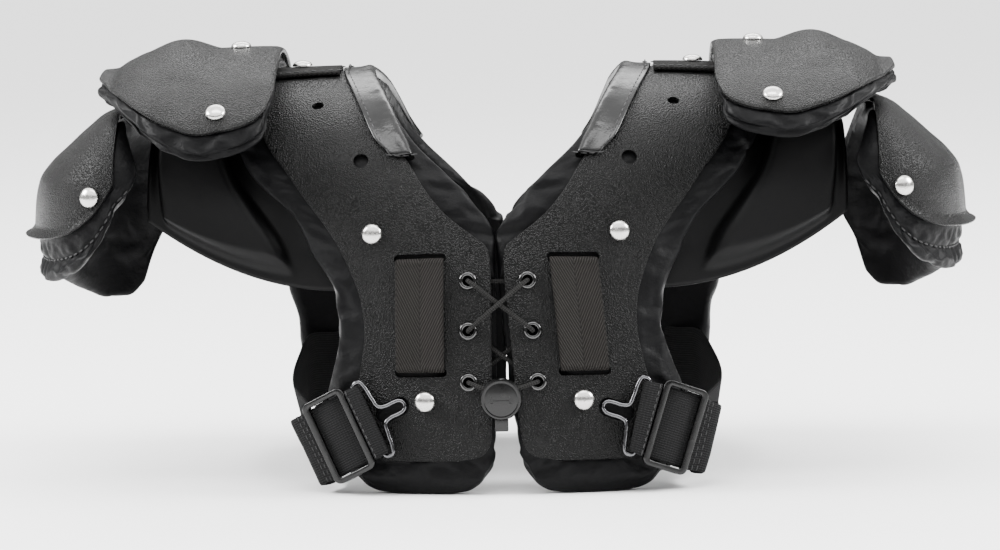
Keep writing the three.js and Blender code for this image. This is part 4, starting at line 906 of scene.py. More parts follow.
def cup_face(turn, z):
    rise = z / CUP["height"]
    return np.stack((
        CUP["middle"] + through(CUP_RISE, CUP_OUT, rise) * CUP["out"] * np.cos(np.radians(turn)),
        through(CUP_RISE, CUP_HALF, rise) * CUP["half"] * np.sin(np.radians(turn)),
        z,
    ), -1)


def cup_frame(turn, z):
    turn, z = np.broadcast_arrays(np.asarray(turn, float), np.asarray(z, float))
    high = np.minimum(z + 1, CUP["height"])
    round_it = cup_face(turn + 2, z) - cup_face(turn - 2, z)
    normal = unit(np.cross(round_it, cup_face(turn, high) - cup_face(turn, high - 2)))
    out = unit(np.cross((0, 1, 0), normal))
    return cup_face(turn, z), out, unit(np.cross(normal, out)), normal


def cup_low(turn):
    rise = CUP_LOW["rise"] * np.minimum(1, abs(turn) / 90) ** CUP_LOW["power"]
    return (CUP_LOW["middle"] + rise) * CUP["height"]


def cup_plate(half):
    share, shift, deep = (np.array(v) for v in zip(*wall_profile(60, CAP_PLATE, EDGE_ROUNDING)))
    share = share ** 1.15
    shift = np.where(share == 1, -shift, np.where(share == 0, shift, 0))
    turns = np.concatenate(((-90,), np.linspace(-89.4, 89.4, 91), (90,)))
    rings = []
    for turn in turns:
        z = lerp(cup_low(turn), CUP["height"], share) + shift
        at, _, _, normal = cup_frame(turn, z)
        lip = np.clip(1 - share / 0.09, 0, 1) ** 1.7 * CUP["flare"] * (1 - (turn / 90) ** 2)
        depth = lerp(CAP_PLATE / 2, deep, 0.6) if abs(turn) == 90 else deep
        rings.append(at + normal * (lip - depth)[:, None])
    piece = skin(f"cup_plate_{half['tag']}_moulded", half["sign"], rings, GRAINED_PLASTIC, 50)
    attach(piece, "root")
    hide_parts(f"cup_plate_{half['tag']}")


for half in HALVES:
    cup_plate(half)

# Cup pads: two layers of nylon-covered foam inside each cup. The upper one is gathered along
# its seam below the lip, the lower one hangs further down behind and has a bound edge.
CUP_EDGE_TURNS = (-112, -100, -90, -75, -60, -45, -30, -15, 0, 15, 30, 45, 60, 75, 90, 100, 108)
CUP_EDGE_LOW = (0.86, 0.78, 0.7, 0.605, 0.56, 0.54, 0.53, 0.53, 0.53, 0.515, 0.485, 0.45, 0.425,
                0.425, 0.46, 0.56, 0.68)
CUP_SEAM = 0.52


def node_graph(name, inputs):
    """An empty geometry node tree with its named inputs."""
    tree = bpy.data.node_groups.new(name, "GeometryNodeTree")
    tree.interface.new_socket("Geometry", in_out="INPUT", socket_type="NodeSocketGeometry")
    for socket, kind, value in inputs:
        made = tree.interface.new_socket(socket, in_out="INPUT", socket_type=kind)
        if value is not None:
            made.default_value = value
    tree.interface.new_socket("Geometry", in_out="OUTPUT", socket_type="NodeSocketGeometry")
    return tree, tree.nodes.new("NodeGroupInput").outputs, tree.nodes.new("NodeGroupOutput").inputs[0]


def chain(tree, kind, links, **values):
    """A geometry node with its inputs linked or set by name."""
    node = tree.nodes.new(kind)
    for name, value in values.items():
        node.inputs[name.replace("_", " ")].default_value = value
    for name, socket in links.items():
        tree.links.new(socket, node.inputs[name])
    return node


def stitch_tree():
    """Short thread stitches along every line of the mesh that it is given."""
    tree, given, made = node_graph("stitches", (
        ("Stitch Length", FLOAT, 0.003), ("Gap", FLOAT, 0.0011), ("Thread", FLOAT, 0.00035),
        ("Material", "NodeSocketMaterial", None)))
    curve = chain(tree, "GeometryNodeMeshToCurve", {"Mesh": given["Geometry"]})
    pitch = maths(tree, "ADD", given["Stitch Length"], given["Gap"])
    spaced = tree.nodes.new("GeometryNodeResampleCurve")
    spaced.mode = "LENGTH"
    tree.links.new(curve.outputs[0], spaced.inputs["Curve"])
    tree.links.new(pitch, spaced.inputs["Length"])
    ball = chain(tree, "GeometryNodeMeshUVSphere", {}, Segments=8, Rings=5, Radius=1.0)
    size = tree.nodes.new("ShaderNodeCombineXYZ")
    tree.links.new(given["Thread"], size.inputs[0])
    tree.links.new(given["Thread"], size.inputs[1])
    tree.links.new(maths(tree, "MULTIPLY", given["Stitch Length"], 0.5), size.inputs[2])
    tangent = tree.nodes.new("GeometryNodeInputTangent")
    turned = chain(tree, "FunctionNodeAlignRotationToVector", {"Vector": tangent.outputs[0]})
    turned.axis = "Z"
    laid = chain(tree, "GeometryNodeInstanceOnPoints", {
        "Points": spaced.outputs[0], "Instance": ball.outputs[0],
        "Rotation": turned.outputs[0], "Scale": size.outputs[0]})
    ending(tree, laid.outputs[0], given["Material"], made)
    return tree


def ending(tree, geometry, material, made):
    real = chain(tree, "GeometryNodeRealizeInstances", {"Geometry": geometry})
    smooth = chain(tree, "GeometryNodeSetShadeSmooth", {"Geometry": real.outputs[0]})
    finish = chain(tree, "GeometryNodeSetMaterial", {"Geometry": smooth.outputs[0], "Material": material})
    tree.links.new(finish.outputs[0], made)


def grown(name, tree, base, **values):
    """The plain mesh that a geometry node tree makes from a base mesh."""
    seed = bpy.data.objects.new(name, base)
    scene.collection.objects.link(seed)
    growing = seed.modifiers.new("growing", "NODES")
    growing.node_group = tree
    names = {s.name: s.identifier for s in tree.interface.items_tree if s.in_out == "INPUT"}
    for key, value in values.items():
        growing[names[key.replace("_", " ")]] = value
    bpy.context.view_layer.update()
    mesh = bpy.data.meshes.new_from_object(seed.evaluated_get(bpy.context.evaluated_depsgraph_get()))
    bpy.data.objects.remove(seed)
    piece = bpy.data.objects.new(name, mesh)
    scene.collection.objects.link(piece)
    return piece


def line_mesh(lines):
    """A mesh of open lines through points in metres."""
    mesh = bpy.data.meshes.new("lines")
    points = [tuple(map(float, p)) for line in lines for p in line]
    edges, start = [], 0
    for line in lines:
        edges += [(start + i, start + i + 1) for i in range(len(line) - 1)]
        start += len(line)
    mesh.from_pydata(points, edges, [])
    return mesh


def in_frame(half, points):
    """Points of a half in mm as places in metres."""
    return np.asarray(points) * np.array((half["sign"], 1, 1)) * MM


def sewing_thread():
    """Twisted polyester thread, a shade lighter than what it holds."""
    material, tree, shader = finish_of("black_thread", (0.02, 0.02, 0.021), 0.6)
    where = coordinates(tree)
    twist = noise(tree, where, 2400.0, 1.0)
    tree.links.new(tinted(tree, twist, (0.002, 0.002, 0.0022), (0.008, 0.008, 0.0084)),
                   shader.inputs["Base Color"])
    bumped(tree, shader, twist, 0.4, 0.0001)
    return material


THREAD = sewing_thread()
STITCHES = stitch_tree()


def cup_pad(half):
    share, inset, deep = (np.array(v) for v in zip(*pad_profile(44)))
    start, radius = CAP_PLATE + GAP, CUP["foam"] / 2
    turns = np.linspace(-112, 108, 91)
    rings, loose = [], []
    for turn in turns:
        low = through(CUP_EDGE_TURNS, CUP_EDGE_LOW, turn) * CUP["height"]
        lip = cup_low(turn)
        top = lerp(lip, CUP["height"], 0.94)
        z = lerp(low + radius, top - radius, share)
        z = np.where(share == 0, low + inset * radius, np.where(share == 1, top - inset * radius, z))
        at, _, _, normal = cup_frame(turn, z)
        beyond = max(0.0, (-105 - turn) / 7, (turn - 101) / 7)
        thin = math.sqrt(max(0.08, 1 - beyond ** 2))
        seam = lerp(low, lip, CUP_SEAM)
        hidden = z > lip - 3
        groove = np.exp(-((z - seam) / 2.2) ** 2) * (deep < 0.5)
        depth = start + radius + (deep - 0.5) * CUP["foam"] * thin + groove * 2.0
        rings.append(at - normal * depth[:, None])
        free = np.where(deep < 0.5, np.where(hidden, 0, ease((lip - 2 - z) / 5)), 1)
        rim = np.where((deep > 0.4) & (deep < 0.6), SEAM_SLACK, 1)
        loose.append(free * rim * (1 - 0.92 * groove) * (0.1 if turn < -110.5 or turn > 106.5 else 1))
    piece = skin(f"cup_pad_{half['tag']}_cover", half["sign"], rings, NYLON)
    swell(piece, np.concatenate(loose), 6.0, 0.1, 0.0045)
    refine(piece)
    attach(piece, "root")
    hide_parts(f"cup_pad_{half['tag']}")
    seam = []
    for turn in np.linspace(-98, 98, 120):
        low = through(CUP_EDGE_TURNS, CUP_EDGE_LOW, turn) * CUP["height"]
        at, _, _, normal = cup_frame(turn, lerp(low, cup_low(turn), CUP_SEAM))
        seam.append(at - normal * (start + 1.2))
    sewn = grown(f"cup_stitches_{half['tag']}", STITCHES, line_mesh([in_frame(half, seam)]),
                 Stitch_Length=0.0032, Gap=0.0012, Thread=0.0005, Material=THREAD)
    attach(sewn, "root")


for half in HALVES:
    cup_pad(half)

# Neck bindings: a strip of glossy vinyl folded over the neck edge of each arch plate round a
# soft bead and sewn through. Its lower end in front is rolled and tied off with thread.
COLLAR_SECTION = (
    # along the face from the plate's edge, and over the face
    (10, GAP + 1.3), (7.6, GAP + 1.45), (4.2, GAP + 1.5), (1, GAP + 1.75), (-2.8, GAP + 2.6),
    (-5.3, GAP + 1.9), (-6.8, GAP + 0.1), (-6.9, -1.9), (-5.7, -3.9), (-2.1, -4.1), (2, -4.1),
    (5, -4.1), (5, -2.8), (2, -2.8), (-GAP, -2.8), (-GAP, -1.2), (-GAP, GAP), (4, GAP), (7.6, GAP),
    (10, GAP),
)
COLLAR_SEAM = 7.6


def glossy_vinyl():
    """Calendered vinyl: shiny, with a fine leather grain and stretch marks round the fold."""
    material, tree, shader = finish_of("black_glossy_vinyl", (0.003, 0.003, 0.003), 0.16, gloss=0.35)
    where = coordinates(tree)
    cells = sockets(tree.nodes, "ShaderNodeTexVoronoi", Scale=900.0)
    tree.links.new(where, cells.inputs["Vector"])
    pull = noise(tree, where, 90.0, 3.0, 0.6)
    tree.links.new(spread_over(tree, pull, 0.3, 0.7, 0.14, 0.3), shader.inputs["Roughness"])
    tree.links.new(tinted(tree, pull, (0.0008, 0.0008, 0.0008), (0.003, 0.003, 0.003)),
                   shader.inputs["Base Color"])
    height = maths(tree, "MULTIPLY_ADD", cells.outputs["Distance"], 0.12, pull)
    bumped(tree, shader, height, 0.4, 0.0007)
    return material


VINYL = glossy_vinyl()


def rounded_ring(points):
    """A closed outline with its corners softened."""
    points = np.asarray(points, float)
    after = np.roll(points, -1, 0)
    return np.stack((points * 0.78 + after * 0.22, points * 0.22 + after * 0.78), 1).reshape(-1, 2)


def neck_binding(half):
    first, last = row_at_height(COLLAR_FOOT), row_at_height(COLLAR_FOOT, False)
    rows = even_rows(first, last, 2.2, 0.45)
    section_points = rounded_ring(COLLAR_SECTION)
    rings = []
    for i, t in enumerate(rows):
        at, out, _, normal = arch_frame(half, t, section("inner", t) * SHOULDER_REACH)
        near_end = min(i, len(rows) - 1 - i)
        tight = lerp(0.72, 1, ease(near_end / 5)) if i < len(rows) / 2 else 1
        along = section_points[:, :1] * tight
        over = section_points[:, 1:]
        pucker = 0.16 * math.sin(i * 2.4) + 0.1 * math.sin(i * 1.1 + 2)
        swell_up = np.where(over > 0, pucker * np.clip(1 - abs(along + 3) / 6, 0, 1), 0)
        rings.append(at + out * along + normal * (over + swell_up))
    rings = np.array(rings)
    ends = [ring.mean(0) + (ring - ring.mean(0)) * 0.93 for ring in (rings[0], rings[-1])]
    rings = [ends[0], *rings, ends[1]]
    tag = half["tag"]
    piece = loft(f"neck_binding_{tag}_vinyl", half, rings, VINYL)
    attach(piece, "root")
    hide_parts(f"neck_binding_{tag}")

    seam = []
    for t in rows[1:-1]:
        at, out, _, normal = arch_frame(half, t, section("inner", t) * SHOULDER_REACH)
        seam.append(at + out * COLLAR_SEAM + normal * (GAP + 1.5))
    at, out, up, normal = arch_frame(half, first, section("inner", first) * SHOULDER_REACH)
    across = [at + out * a - up * 0.5 + normal * (GAP + 1.7 + 0.7 * math.sin(a))
              for a in np.linspace(-5, 8, 14)]
    ties = in_frame(half, across)
    sewn = grown(f"neck_stitches_{tag}", STITCHES, line_mesh((in_frame(half, seam), ties)),
                 Stitch_Length=0.0034, Gap=0.0012, Thread=0.00034, Material=THREAD)
    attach(sewn, "root")


def loft(name, half, rings, material):
    """A closed solid over rings, its ends closed by fans round their middles."""
    rings = np.array(rings) * MM
    rings[..., 0] *= half["sign"]
    rows, count = rings.shape[:2]
    around = np.linalg.norm(np.diff(rings, axis=1, append=rings[:, :1]), axis=2).mean(0)
    across = np.concatenate(([0], np.cumsum(around)))
    along = np.concatenate(([0], np.cumsum(np.linalg.norm(np.diff(rings, axis=0), axis=2).mean(1))))
    bm = bmesh.new()
    points = [[bm.verts.new(p) for p in ring] for ring in rings]
    uv = bm.loops.layers.uv.new("UVMap")
    for i in range(rows - 1):
        for j in range(count):
            k = (j + 1) % count
            face = bm.faces.new((points[i][j], points[i][k], points[i + 1][k], points[i + 1][j]))
            places = ((j, i), (j + 1, i), (j + 1, i + 1), (j, i + 1))
            for loop, (column, row) in zip(face.loops, places):
                loop[uv].uv = (across[column], along[row])
    for ring, places, row in ((points[0], rings[0], 0), (points[-1], rings[-1], rows - 1)):
        middle = bm.verts.new(places.mean(0))
        for j in range(count):
            face = bm.faces.new((ring[j], ring[(j + 1) % count], middle))
            for loop, column in zip(face.loops, (j, j + 1, j)):
                loop[uv].uv = (across[column], along[row])
    bmesh.ops.recalc_face_normals(bm, faces=bm.faces)
    return keep(bm, name, material)


for half in HALVES:
    neck_binding(half)

# Webbing: woven straps. One wide strap runs over each shoulder, riveted to the arch, and goes
# on under the cap down to the cup. On the chest a herringbone strap comes out of one slot in
# the plate and goes back into another, as a place for a chest fitting.
def webbing(name, width, pitch, dark, light):
    """Herringbone weave on the strap's own map: slanting ribs that turn at each stripe."""
    material, tree, shader = finish_of(name, dark, 0.75, gloss=0.1)
    node = placed(tree, HERRINGBONE, Vector=coordinates(tree, "UV"), Stripe=width, Rib=pitch)
    fuzz = noise(tree, coordinates(tree), 1800.0, 2.0)
    share = maths(tree, "MULTIPLY_ADD", fuzz, 0.25, maths(tree, "MULTIPLY", node.outputs["Height"], 0.75))
    tree.links.new(tinted(tree, share, dark, light), shader.inputs["Base Color"])
    tree.links.new(spread_over(tree, node.outputs["Height"], 0, 1, 0.85, 0.6), shader.inputs["Roughness"])
    height = maths(tree, "MULTIPLY_ADD", fuzz, 0.2, node.outputs["Height"])
    bumped(tree, shader, height, 0.9, 0.0004)
    return material


def herringbone_group():
    tree, given, made = shader_group(
        "herringbone", (("Vector", VECTOR, None), ("Stripe", FLOAT, 0.005), ("Rib", FLOAT, 0.0016)),
        (("Height", FLOAT), ("Stripes", FLOAT)))
    parts = tree.nodes.new("ShaderNodeSeparateXYZ")
    tree.links.new(given.outputs["Vector"], parts.inputs[0])
    zigzag = maths(tree, "PINGPONG", parts.outputs["X"], given.outputs["Stripe"])
    run = maths(tree, "ADD", maths(tree, "MULTIPLY", zigzag, 2.0), parts.outputs["Y"])
    phase = maths(tree, "MULTIPLY", maths(tree, "DIVIDE", run, given.outputs["Rib"]), math.tau)
    rib = maths(tree, "MULTIPLY_ADD", maths(tree, "SINE", phase), 0.5, 0.5)
    fold = maths(tree, "DIVIDE", zigzag, given.outputs["Stripe"])
    near_turn = maths(tree, "MULTIPLY", maths(tree, "SUBTRACT", 1.0, fold), fold)
    dip = spread_over(tree, near_turn, 0.0, 0.04, 0.5, 1.0)
    tree.links.new(maths(tree, "MULTIPLY", rib, dip), made.inputs["Height"])
    tree.links.new(fold, made.inputs["Stripes"])
    return tree


HERRINGBONE = herringbone_group()
STRAP_WEBBING = webbing("black_shoulder_webbing", 0.006, 0.0026,
                        (0.001, 0.001, 0.001), (0.011, 0.0105, 0.01))
CHEST_WEBBING = webbing("black_chest_webbing", WEB["width"] * MM / 2, 0.0027,
                        (0.0012, 0.0011, 0.001), (0.02, 0.018, 0.0165))
BAND_SHARES = np.array([-0.5, -0.485, *np.linspace(-0.45, 0.45, 13), 0.485, 0.5])
BAND_THICK = np.array([0.35, 0.8, *np.ones(13), 0.8, 0.35])


def band_rings(line, thickness, face_at):
    """Rings of a band with round edges: line is (run, height), face_at takes run, share, height."""
    line = np.asarray(line, float)
    tangent = unit(np.gradient(line, axis=0))
    rings = []
    half_thick = BAND_THICK * thickness / 2
    for (run, height), (along, up) in zip(line, tangent):
        top = face_at(run - up * half_thick, BAND_SHARES, height + along * half_thick)
        under = face_at(run + up * half_thick, BAND_SHARES, height - along * half_thick)
        rings.append(np.concatenate((top, under[::-1])))
    return rings


def smooth_line(points, step):
    """A curve through points in any number of dimensions, evenly spaced."""
    points = np.asarray(points, float)
    gaps = np.sqrt(np.linalg.norm(np.diff(points, axis=0), axis=1))
    places = np.concatenate(([0], np.cumsum(np.maximum(gaps, 1e-6))))
    tangent = np.empty_like(points)
    tangent[0], tangent[-1] = points[1] - points[0], points[-1] - points[-2]
    tangent[0] /= places[1]
    tangent[-1] /= places[-1] - places[-2]
    a, b = np.diff(places)[:-1, None], np.diff(places)[1:, None]
    before, after = np.diff(points, axis=0)[:-1] / a, np.diff(points, axis=0)[1:] / b
    tangent[1:-1] = (before * b + after * a) / (a + b)
    fine = np.linspace(0, places[-1], 60 * len(points))
    i = np.clip(np.searchsorted(places, fine, side="right") - 1, 0, len(points) - 2)
    h = (places[i + 1] - places[i])[:, None]
    s = ((fine - places[i]) / h[:, 0])[:, None]
    curve = (points[i] * (1 + 2 * s) * (1 - s) ** 2 + points[i + 1] * s * s * (3 - 2 * s)
             + h * (tangent[i] * s * (1 - s) ** 2 - tangent[i + 1] * s * s * (1 - s)))
    run = np.concatenate(([0], np.cumsum(np.linalg.norm(np.diff(curve, axis=0), axis=1))))
    even = np.linspace(0, run[-1], max(2, round(run[-1] / step)) + 1)
    return np.stack([np.interp(even, run, column) for column in curve.T], 1)


def strap_point(half, station, share, height):
    per_row = abs(section("reach", TOP_ROW + 1.0)) * FOOT_REACH
    t = TOP_ROW + share * STRAP["width"] / per_row
    flat = on_arch(half, t, np.minimum(station, SHOULDER_REACH), height)
    beyond = np.clip((station - SHOULDER_REACH) / (STRAP["end"] - SHOULDER_REACH), 0, 1)
    drop = ease(beyond / STRAP["landing"])
    return np.stack((
        np.where(station > SHOULDER_REACH, station, flat[..., 0]),
        lerp(flat[..., 1], share * STRAP["width"], beyond),
        lerp(flat[..., 2], CUP["height"] + height, drop),
    ), -1)


def shoulder_strap(half):
    rings = []
    middle = STRAP["lift"] + STRAP["thickness"] / 2
    thick = BAND_THICK * STRAP["thickness"] / 2
    for station in np.linspace(STRAP["start"], STRAP["end"], 70):
        station = np.full_like(BAND_SHARES, station)
        rings.append(np.concatenate((strap_point(half, station, BAND_SHARES, middle + thick),
                                     strap_point(half, station, BAND_SHARES, middle - thick)[::-1])))
    tag = half["tag"]
    piece = skin(f"shoulder_strap_{tag}_webbing", half["sign"], rings, STRAP_WEBBING)
    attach(piece, "root")
    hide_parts(f"shoulder_strap_{tag}")
    top = STRAP["lift"] + STRAP["thickness"] + 0.1
    rows = [[strap_point(half, np.array(x), np.array(w), top) for x in np.linspace(78, 114, 30)]
            for w in (-0.43, 0.43)]
    rows.append([strap_point(half, np.array(78.0), np.array(w), top) for w in np.linspace(-0.43, 0.43, 20)])
    sewn = grown(f"strap_stitches_{tag}", STITCHES, line_mesh([in_frame(half, row) for row in rows]),
                 Stitch_Length=0.003, Gap=0.0012, Thread=0.0004, Material=THREAD)
    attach(sewn, "root")


def chest_web(half):
    flat = GAP + WEB["thickness"] / 2
    turn = ((1.6, -0.85 * PLATE), (1.5, -0.2), (0.5, flat + 0.3), (-1.6, flat))
    low = [(WEB["low"] - past, height) for past, height in turn]
    high = [(WEB["high"] + past, height) for past, height in reversed(turn)]
    line = smooth_line([*low, (WEB["low"] + 6, flat + 0.1), (92, flat + 0.5),
                        (WEB["high"] - 6, flat + 0.1), *high], 1.0)

    def face_at(z, share, height):
        return on_arch(half, row_at_height(z), WEB["x"] + share * WEB["width"], height)

    rings = band_rings(line, WEB["thickness"], face_at)
    piece = skin(f"chest_web_{half['tag']}_webbing", half["sign"], rings, CHEST_WEBBING)
    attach(piece, "root")
    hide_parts(f"chest_web_{half['tag']}")


for half in HALVES:
    shoulder_strap(half)
    chest_web(half)

# Side belts: a ribbed elastic strap on each side. It is sewn round the bar of the wire hook,
# threads under and over the bars of the buckle, folds outward and runs back past the ribs
# to the inside of the back pad.
BELT = dict(width=38, thickness=1.8, lift=1.3, hump=1.5, flat=12.5, free=18)
HOOK = dict(wire=1.1, bar=17.5)
BELT_LOW = BELT["lift"] + BELT["thickness"] / 2
BELT_ROUND = HOOK["wire"] + 1.6 * GAP + BELT["thickness"] / 2
BAR_HEIGHT = BELT_LOW + BELT_ROUND
BELT_FOLD = dict(start=19, radius=4.5, drop=14)
BELT_BACK = dict(x=80, z=48, corner=99, round=5, clear=7.5 * GAP)
BELT_TURNED = 0.62
BELT_WAYPOINTS = ((0.769, -0.402, 0.152), (0.791, 0, 0.199), (0.784, 0.357, 0.223))


def ribbed_elastic():
    """Knitted elastic: close ribs along the strap with fine cross threads."""
    material, tree, shader = finish_of("black_ribbed_elastic", (0.006, 0.006, 0.006), 0.85, gloss=0.12)
    parts = tree.nodes.new("ShaderNodeSeparateXYZ")
    tree.links.new(coordinates(tree, "UV"), parts.inputs[0])
    lengthwise, crosswise = (
        maths(tree, "MULTIPLY_ADD", maths(tree, "SINE", maths(tree, "MULTIPLY", run, ribs)), 0.5, 0.5)
        for run, ribs in ((parts.outputs["X"], 5200.0), (parts.outputs["Y"], 4300.0))
    )
    weave = maths(tree, "MULTIPLY", lengthwise, maths(tree, "MULTIPLY_ADD", crosswise, 0.6, 0.4))
    fuzz = noise(tree, coordinates(tree), 1500.0, 2.0)
    share = maths(tree, "MULTIPLY_ADD", weave, 0.6, maths(tree, "MULTIPLY", fuzz, 0.4))
    tree.links.new(tinted(tree, share, (0.001, 0.001, 0.001), (0.015, 0.015, 0.0155)),
                   shader.inputs["Base Color"])
    bumped(tree, shader, maths(tree, "MULTIPLY_ADD", fuzz, 0.3, weave), 0.8, 0.0003)
    return material


ELASTIC = ribbed_elastic()


def buckle_spot(half):
    at, out, up, normal = arch_frame(half, row_at_height(half["buckle_rise"]), half["buckle_out"])
    tilt = math.radians(half["belt_tilt"])
    along = out * math.cos(tilt) - up * math.sin(tilt)
    across = out * math.sin(tilt) + up * math.cos(tilt)
    return at, along, across, normal


def on_belt(half, along, across, height):
    """Along the belt from the buckle's middle: flat in its plane, then on the chest."""
    along, across, height = np.broadcast_arrays(*(np.asarray(v, float) for v in (along, across, height)))
    at, _, _, normal = belt_spot(half, along, across)
    on_chest = at + normal * height[..., None]
    middle, ahead, beside, away = buckle_spot(half)
    flat = middle + ahead * along[..., None] + beside * across[..., None] + away * height[..., None]
    share = ease((abs(along) - BELT["flat"]) / (BELT["free"] - BELT["flat"]))[..., None]
    return flat + (on_chest - flat) * share


def belt_front_line():
    loop = [(-HOOK["bar"] + BELT_ROUND * math.cos(a), BAR_HEIGHT + BELT_ROUND * math.sin(a))
            for a in np.radians((90, 112, 135, 157, 180, 202, 225, 247, 270))]
    fold = [(BELT_FOLD["start"] + BELT_FOLD["radius"] * math.cos(a),
             BELT_LOW + BELT_FOLD["radius"] * (math.sin(a) - 1)) for a in np.radians((90, 60, 30, 0))]
    hump = BELT_LOW + BELT["hump"]
    return [(-13.8, BAR_HEIGHT + BELT_ROUND), *loop, (-8.6, BELT_LOW), (-2.6, hump), (2.6, hump),
            (8.6, BELT_LOW), (13.5, BELT_LOW), *fold]


def belt(half):
    front = smooth_line(belt_front_line(), 1.2)
    rings = band_rings(front, BELT["thickness"],
                       lambda run, share, height: on_belt(half, run, share * BELT["width"], height))
    run, height = belt_front_line()[-1]
    start = on_belt(half, run, 0, height)
    across = unit(on_belt(half, run, 1, height) - on_belt(half, run, -1, height))
    inward = -belt_spot(half, run, 0)[3] * BELT_FOLD["drop"]
    back_row = row_at_height(BELT_BACK["z"], False)
    depth = PLATE + BODY_FOAM + BELT_BACK["clear"] + BELT["thickness"] / 2
    corner, round_by = BELT_BACK["corner"], BELT_BACK["round"]
    swung = section("swing", row_at_height(half["buckle_rise"])) * half["foot_swing"]
    points = [start, start + inward]
    for i, (x, y, z) in enumerate(BELT_WAYPOINTS):
        points.append((x * SHOULDER_REACH + swung * (1 - i / 2), y * FOOT_REACH, z * ARCH_HEIGHT))
    points += [on_arch(half, back_row, corner, -depth) + (0.6 * round_by, -1.4 * round_by, 0),
               on_arch(half, back_row, corner - round_by, -depth),
               on_arch(half, back_row, BELT_BACK["x"], -depth)]
    path = smooth_line(np.array([np.asarray(p, float).reshape(3) for p in points]), 2.2)
    tangents = unit(np.gradient(path, axis=0))
    upright = -arch_frame(half, back_row, BELT_BACK["x"])[2]
    for i in range(1, len(path)):
        share = i / (len(path) - 1)
        wide = lerp(across, upright, min(1, share / BELT_TURNED))
        wide = unit(wide - tangents[i] * np.dot(wide, tangents[i]))
        thick = np.cross(tangents[i], wide) * BELT["thickness"] / 2 * BAND_THICK[:, None]
        middle = path[i] + wide * (BAND_SHARES * BELT["width"])[:, None]
        rings.append(np.concatenate((middle + thick, (middle - thick)[::-1])))
    tag = half["tag"]
    piece = skin(f"belt_{tag}_elastic", half["sign"], rings, ELASTIC)
    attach(piece, "root")
    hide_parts(f"belt_{tag}")
    widths = np.linspace(-0.46, 0.46, 24) * BELT["width"]
    seams = [on_belt(half, np.full_like(widths, run), widths, BELT_LOW + BELT["thickness"] / 2 + 0.1)
             for run in (15.2, 17.4)]
    seams.append(on_belt(half, np.full_like(widths, -14.6), widths,
                         BAR_HEIGHT + BELT_ROUND + BELT["thickness"] / 2 + 0.05))
    sewn = grown(f"belt_stitches_{tag}", STITCHES, line_mesh([in_frame(half, s) for s in seams]),
                 Stitch_Length=0.0024, Gap=0.001, Thread=0.00035, Material=THREAD)
    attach(sewn, "root")


for half in HALVES:
    belt(half)

# Buckles: one moulded slider of smooth black plastic on each belt, with rounded corners,
# two side rails and a low bar across the middle that the belt humps over.
BUCKLE = dict(along=25, across=45, thickness=3, bar=3.6, rail=2.8, corner=4)


def smooth_plastic():
    """Polished moulded plastic with soft ripples, faint scuffs and settled dust."""
    material, tree, shader = finish_of("black_smooth_plastic", (0.002, 0.002, 0.002), 0.25, gloss=0.35)
    where = coordinates(tree)
    ripple = noise(tree, where, 60.0, 2.0)
    wear = placed(tree, HANDLING_WEAR, Vector=where, Amount=0.6)
    tree.links.new(tinted(tree, wear.outputs["Mask"], (0.001, 0.001, 0.001), (0.012, 0.012, 0.012)),
                   shader.inputs["Base Color"])
    tree.links.new(spread_over(tree, ripple, 0.3, 0.7, 0.18, 0.34), shader.inputs["Roughness"])
    bumped(tree, shader, ripple, 0.25, 0.0004)
    return material


SMOOTH_PLASTIC = smooth_plastic()


def rounded_box(bm, low, high, matrix):
    made = bmesh.ops.create_cube(bm, size=1)
    middle, size = (Vector(low) + Vector(high)) / 2, Vector(high) - Vector(low)
    bmesh.ops.transform(bm, verts=made["verts"],
                        matrix=matrix @ Matrix.Translation(middle * MM) @ Matrix.Diagonal((*(size * MM), 1)))


def softened(piece, width):
    """Rounds the edges of a piece and keeps the result."""
    edges = piece.modifiers.new("edges", "BEVEL")
    edges.width, edges.segments = width, 3
    edges.limit_method, edges.angle_limit = "ANGLE", math.radians(30)
    applied(piece).set_sharp_from_angle(angle=math.radians(60))


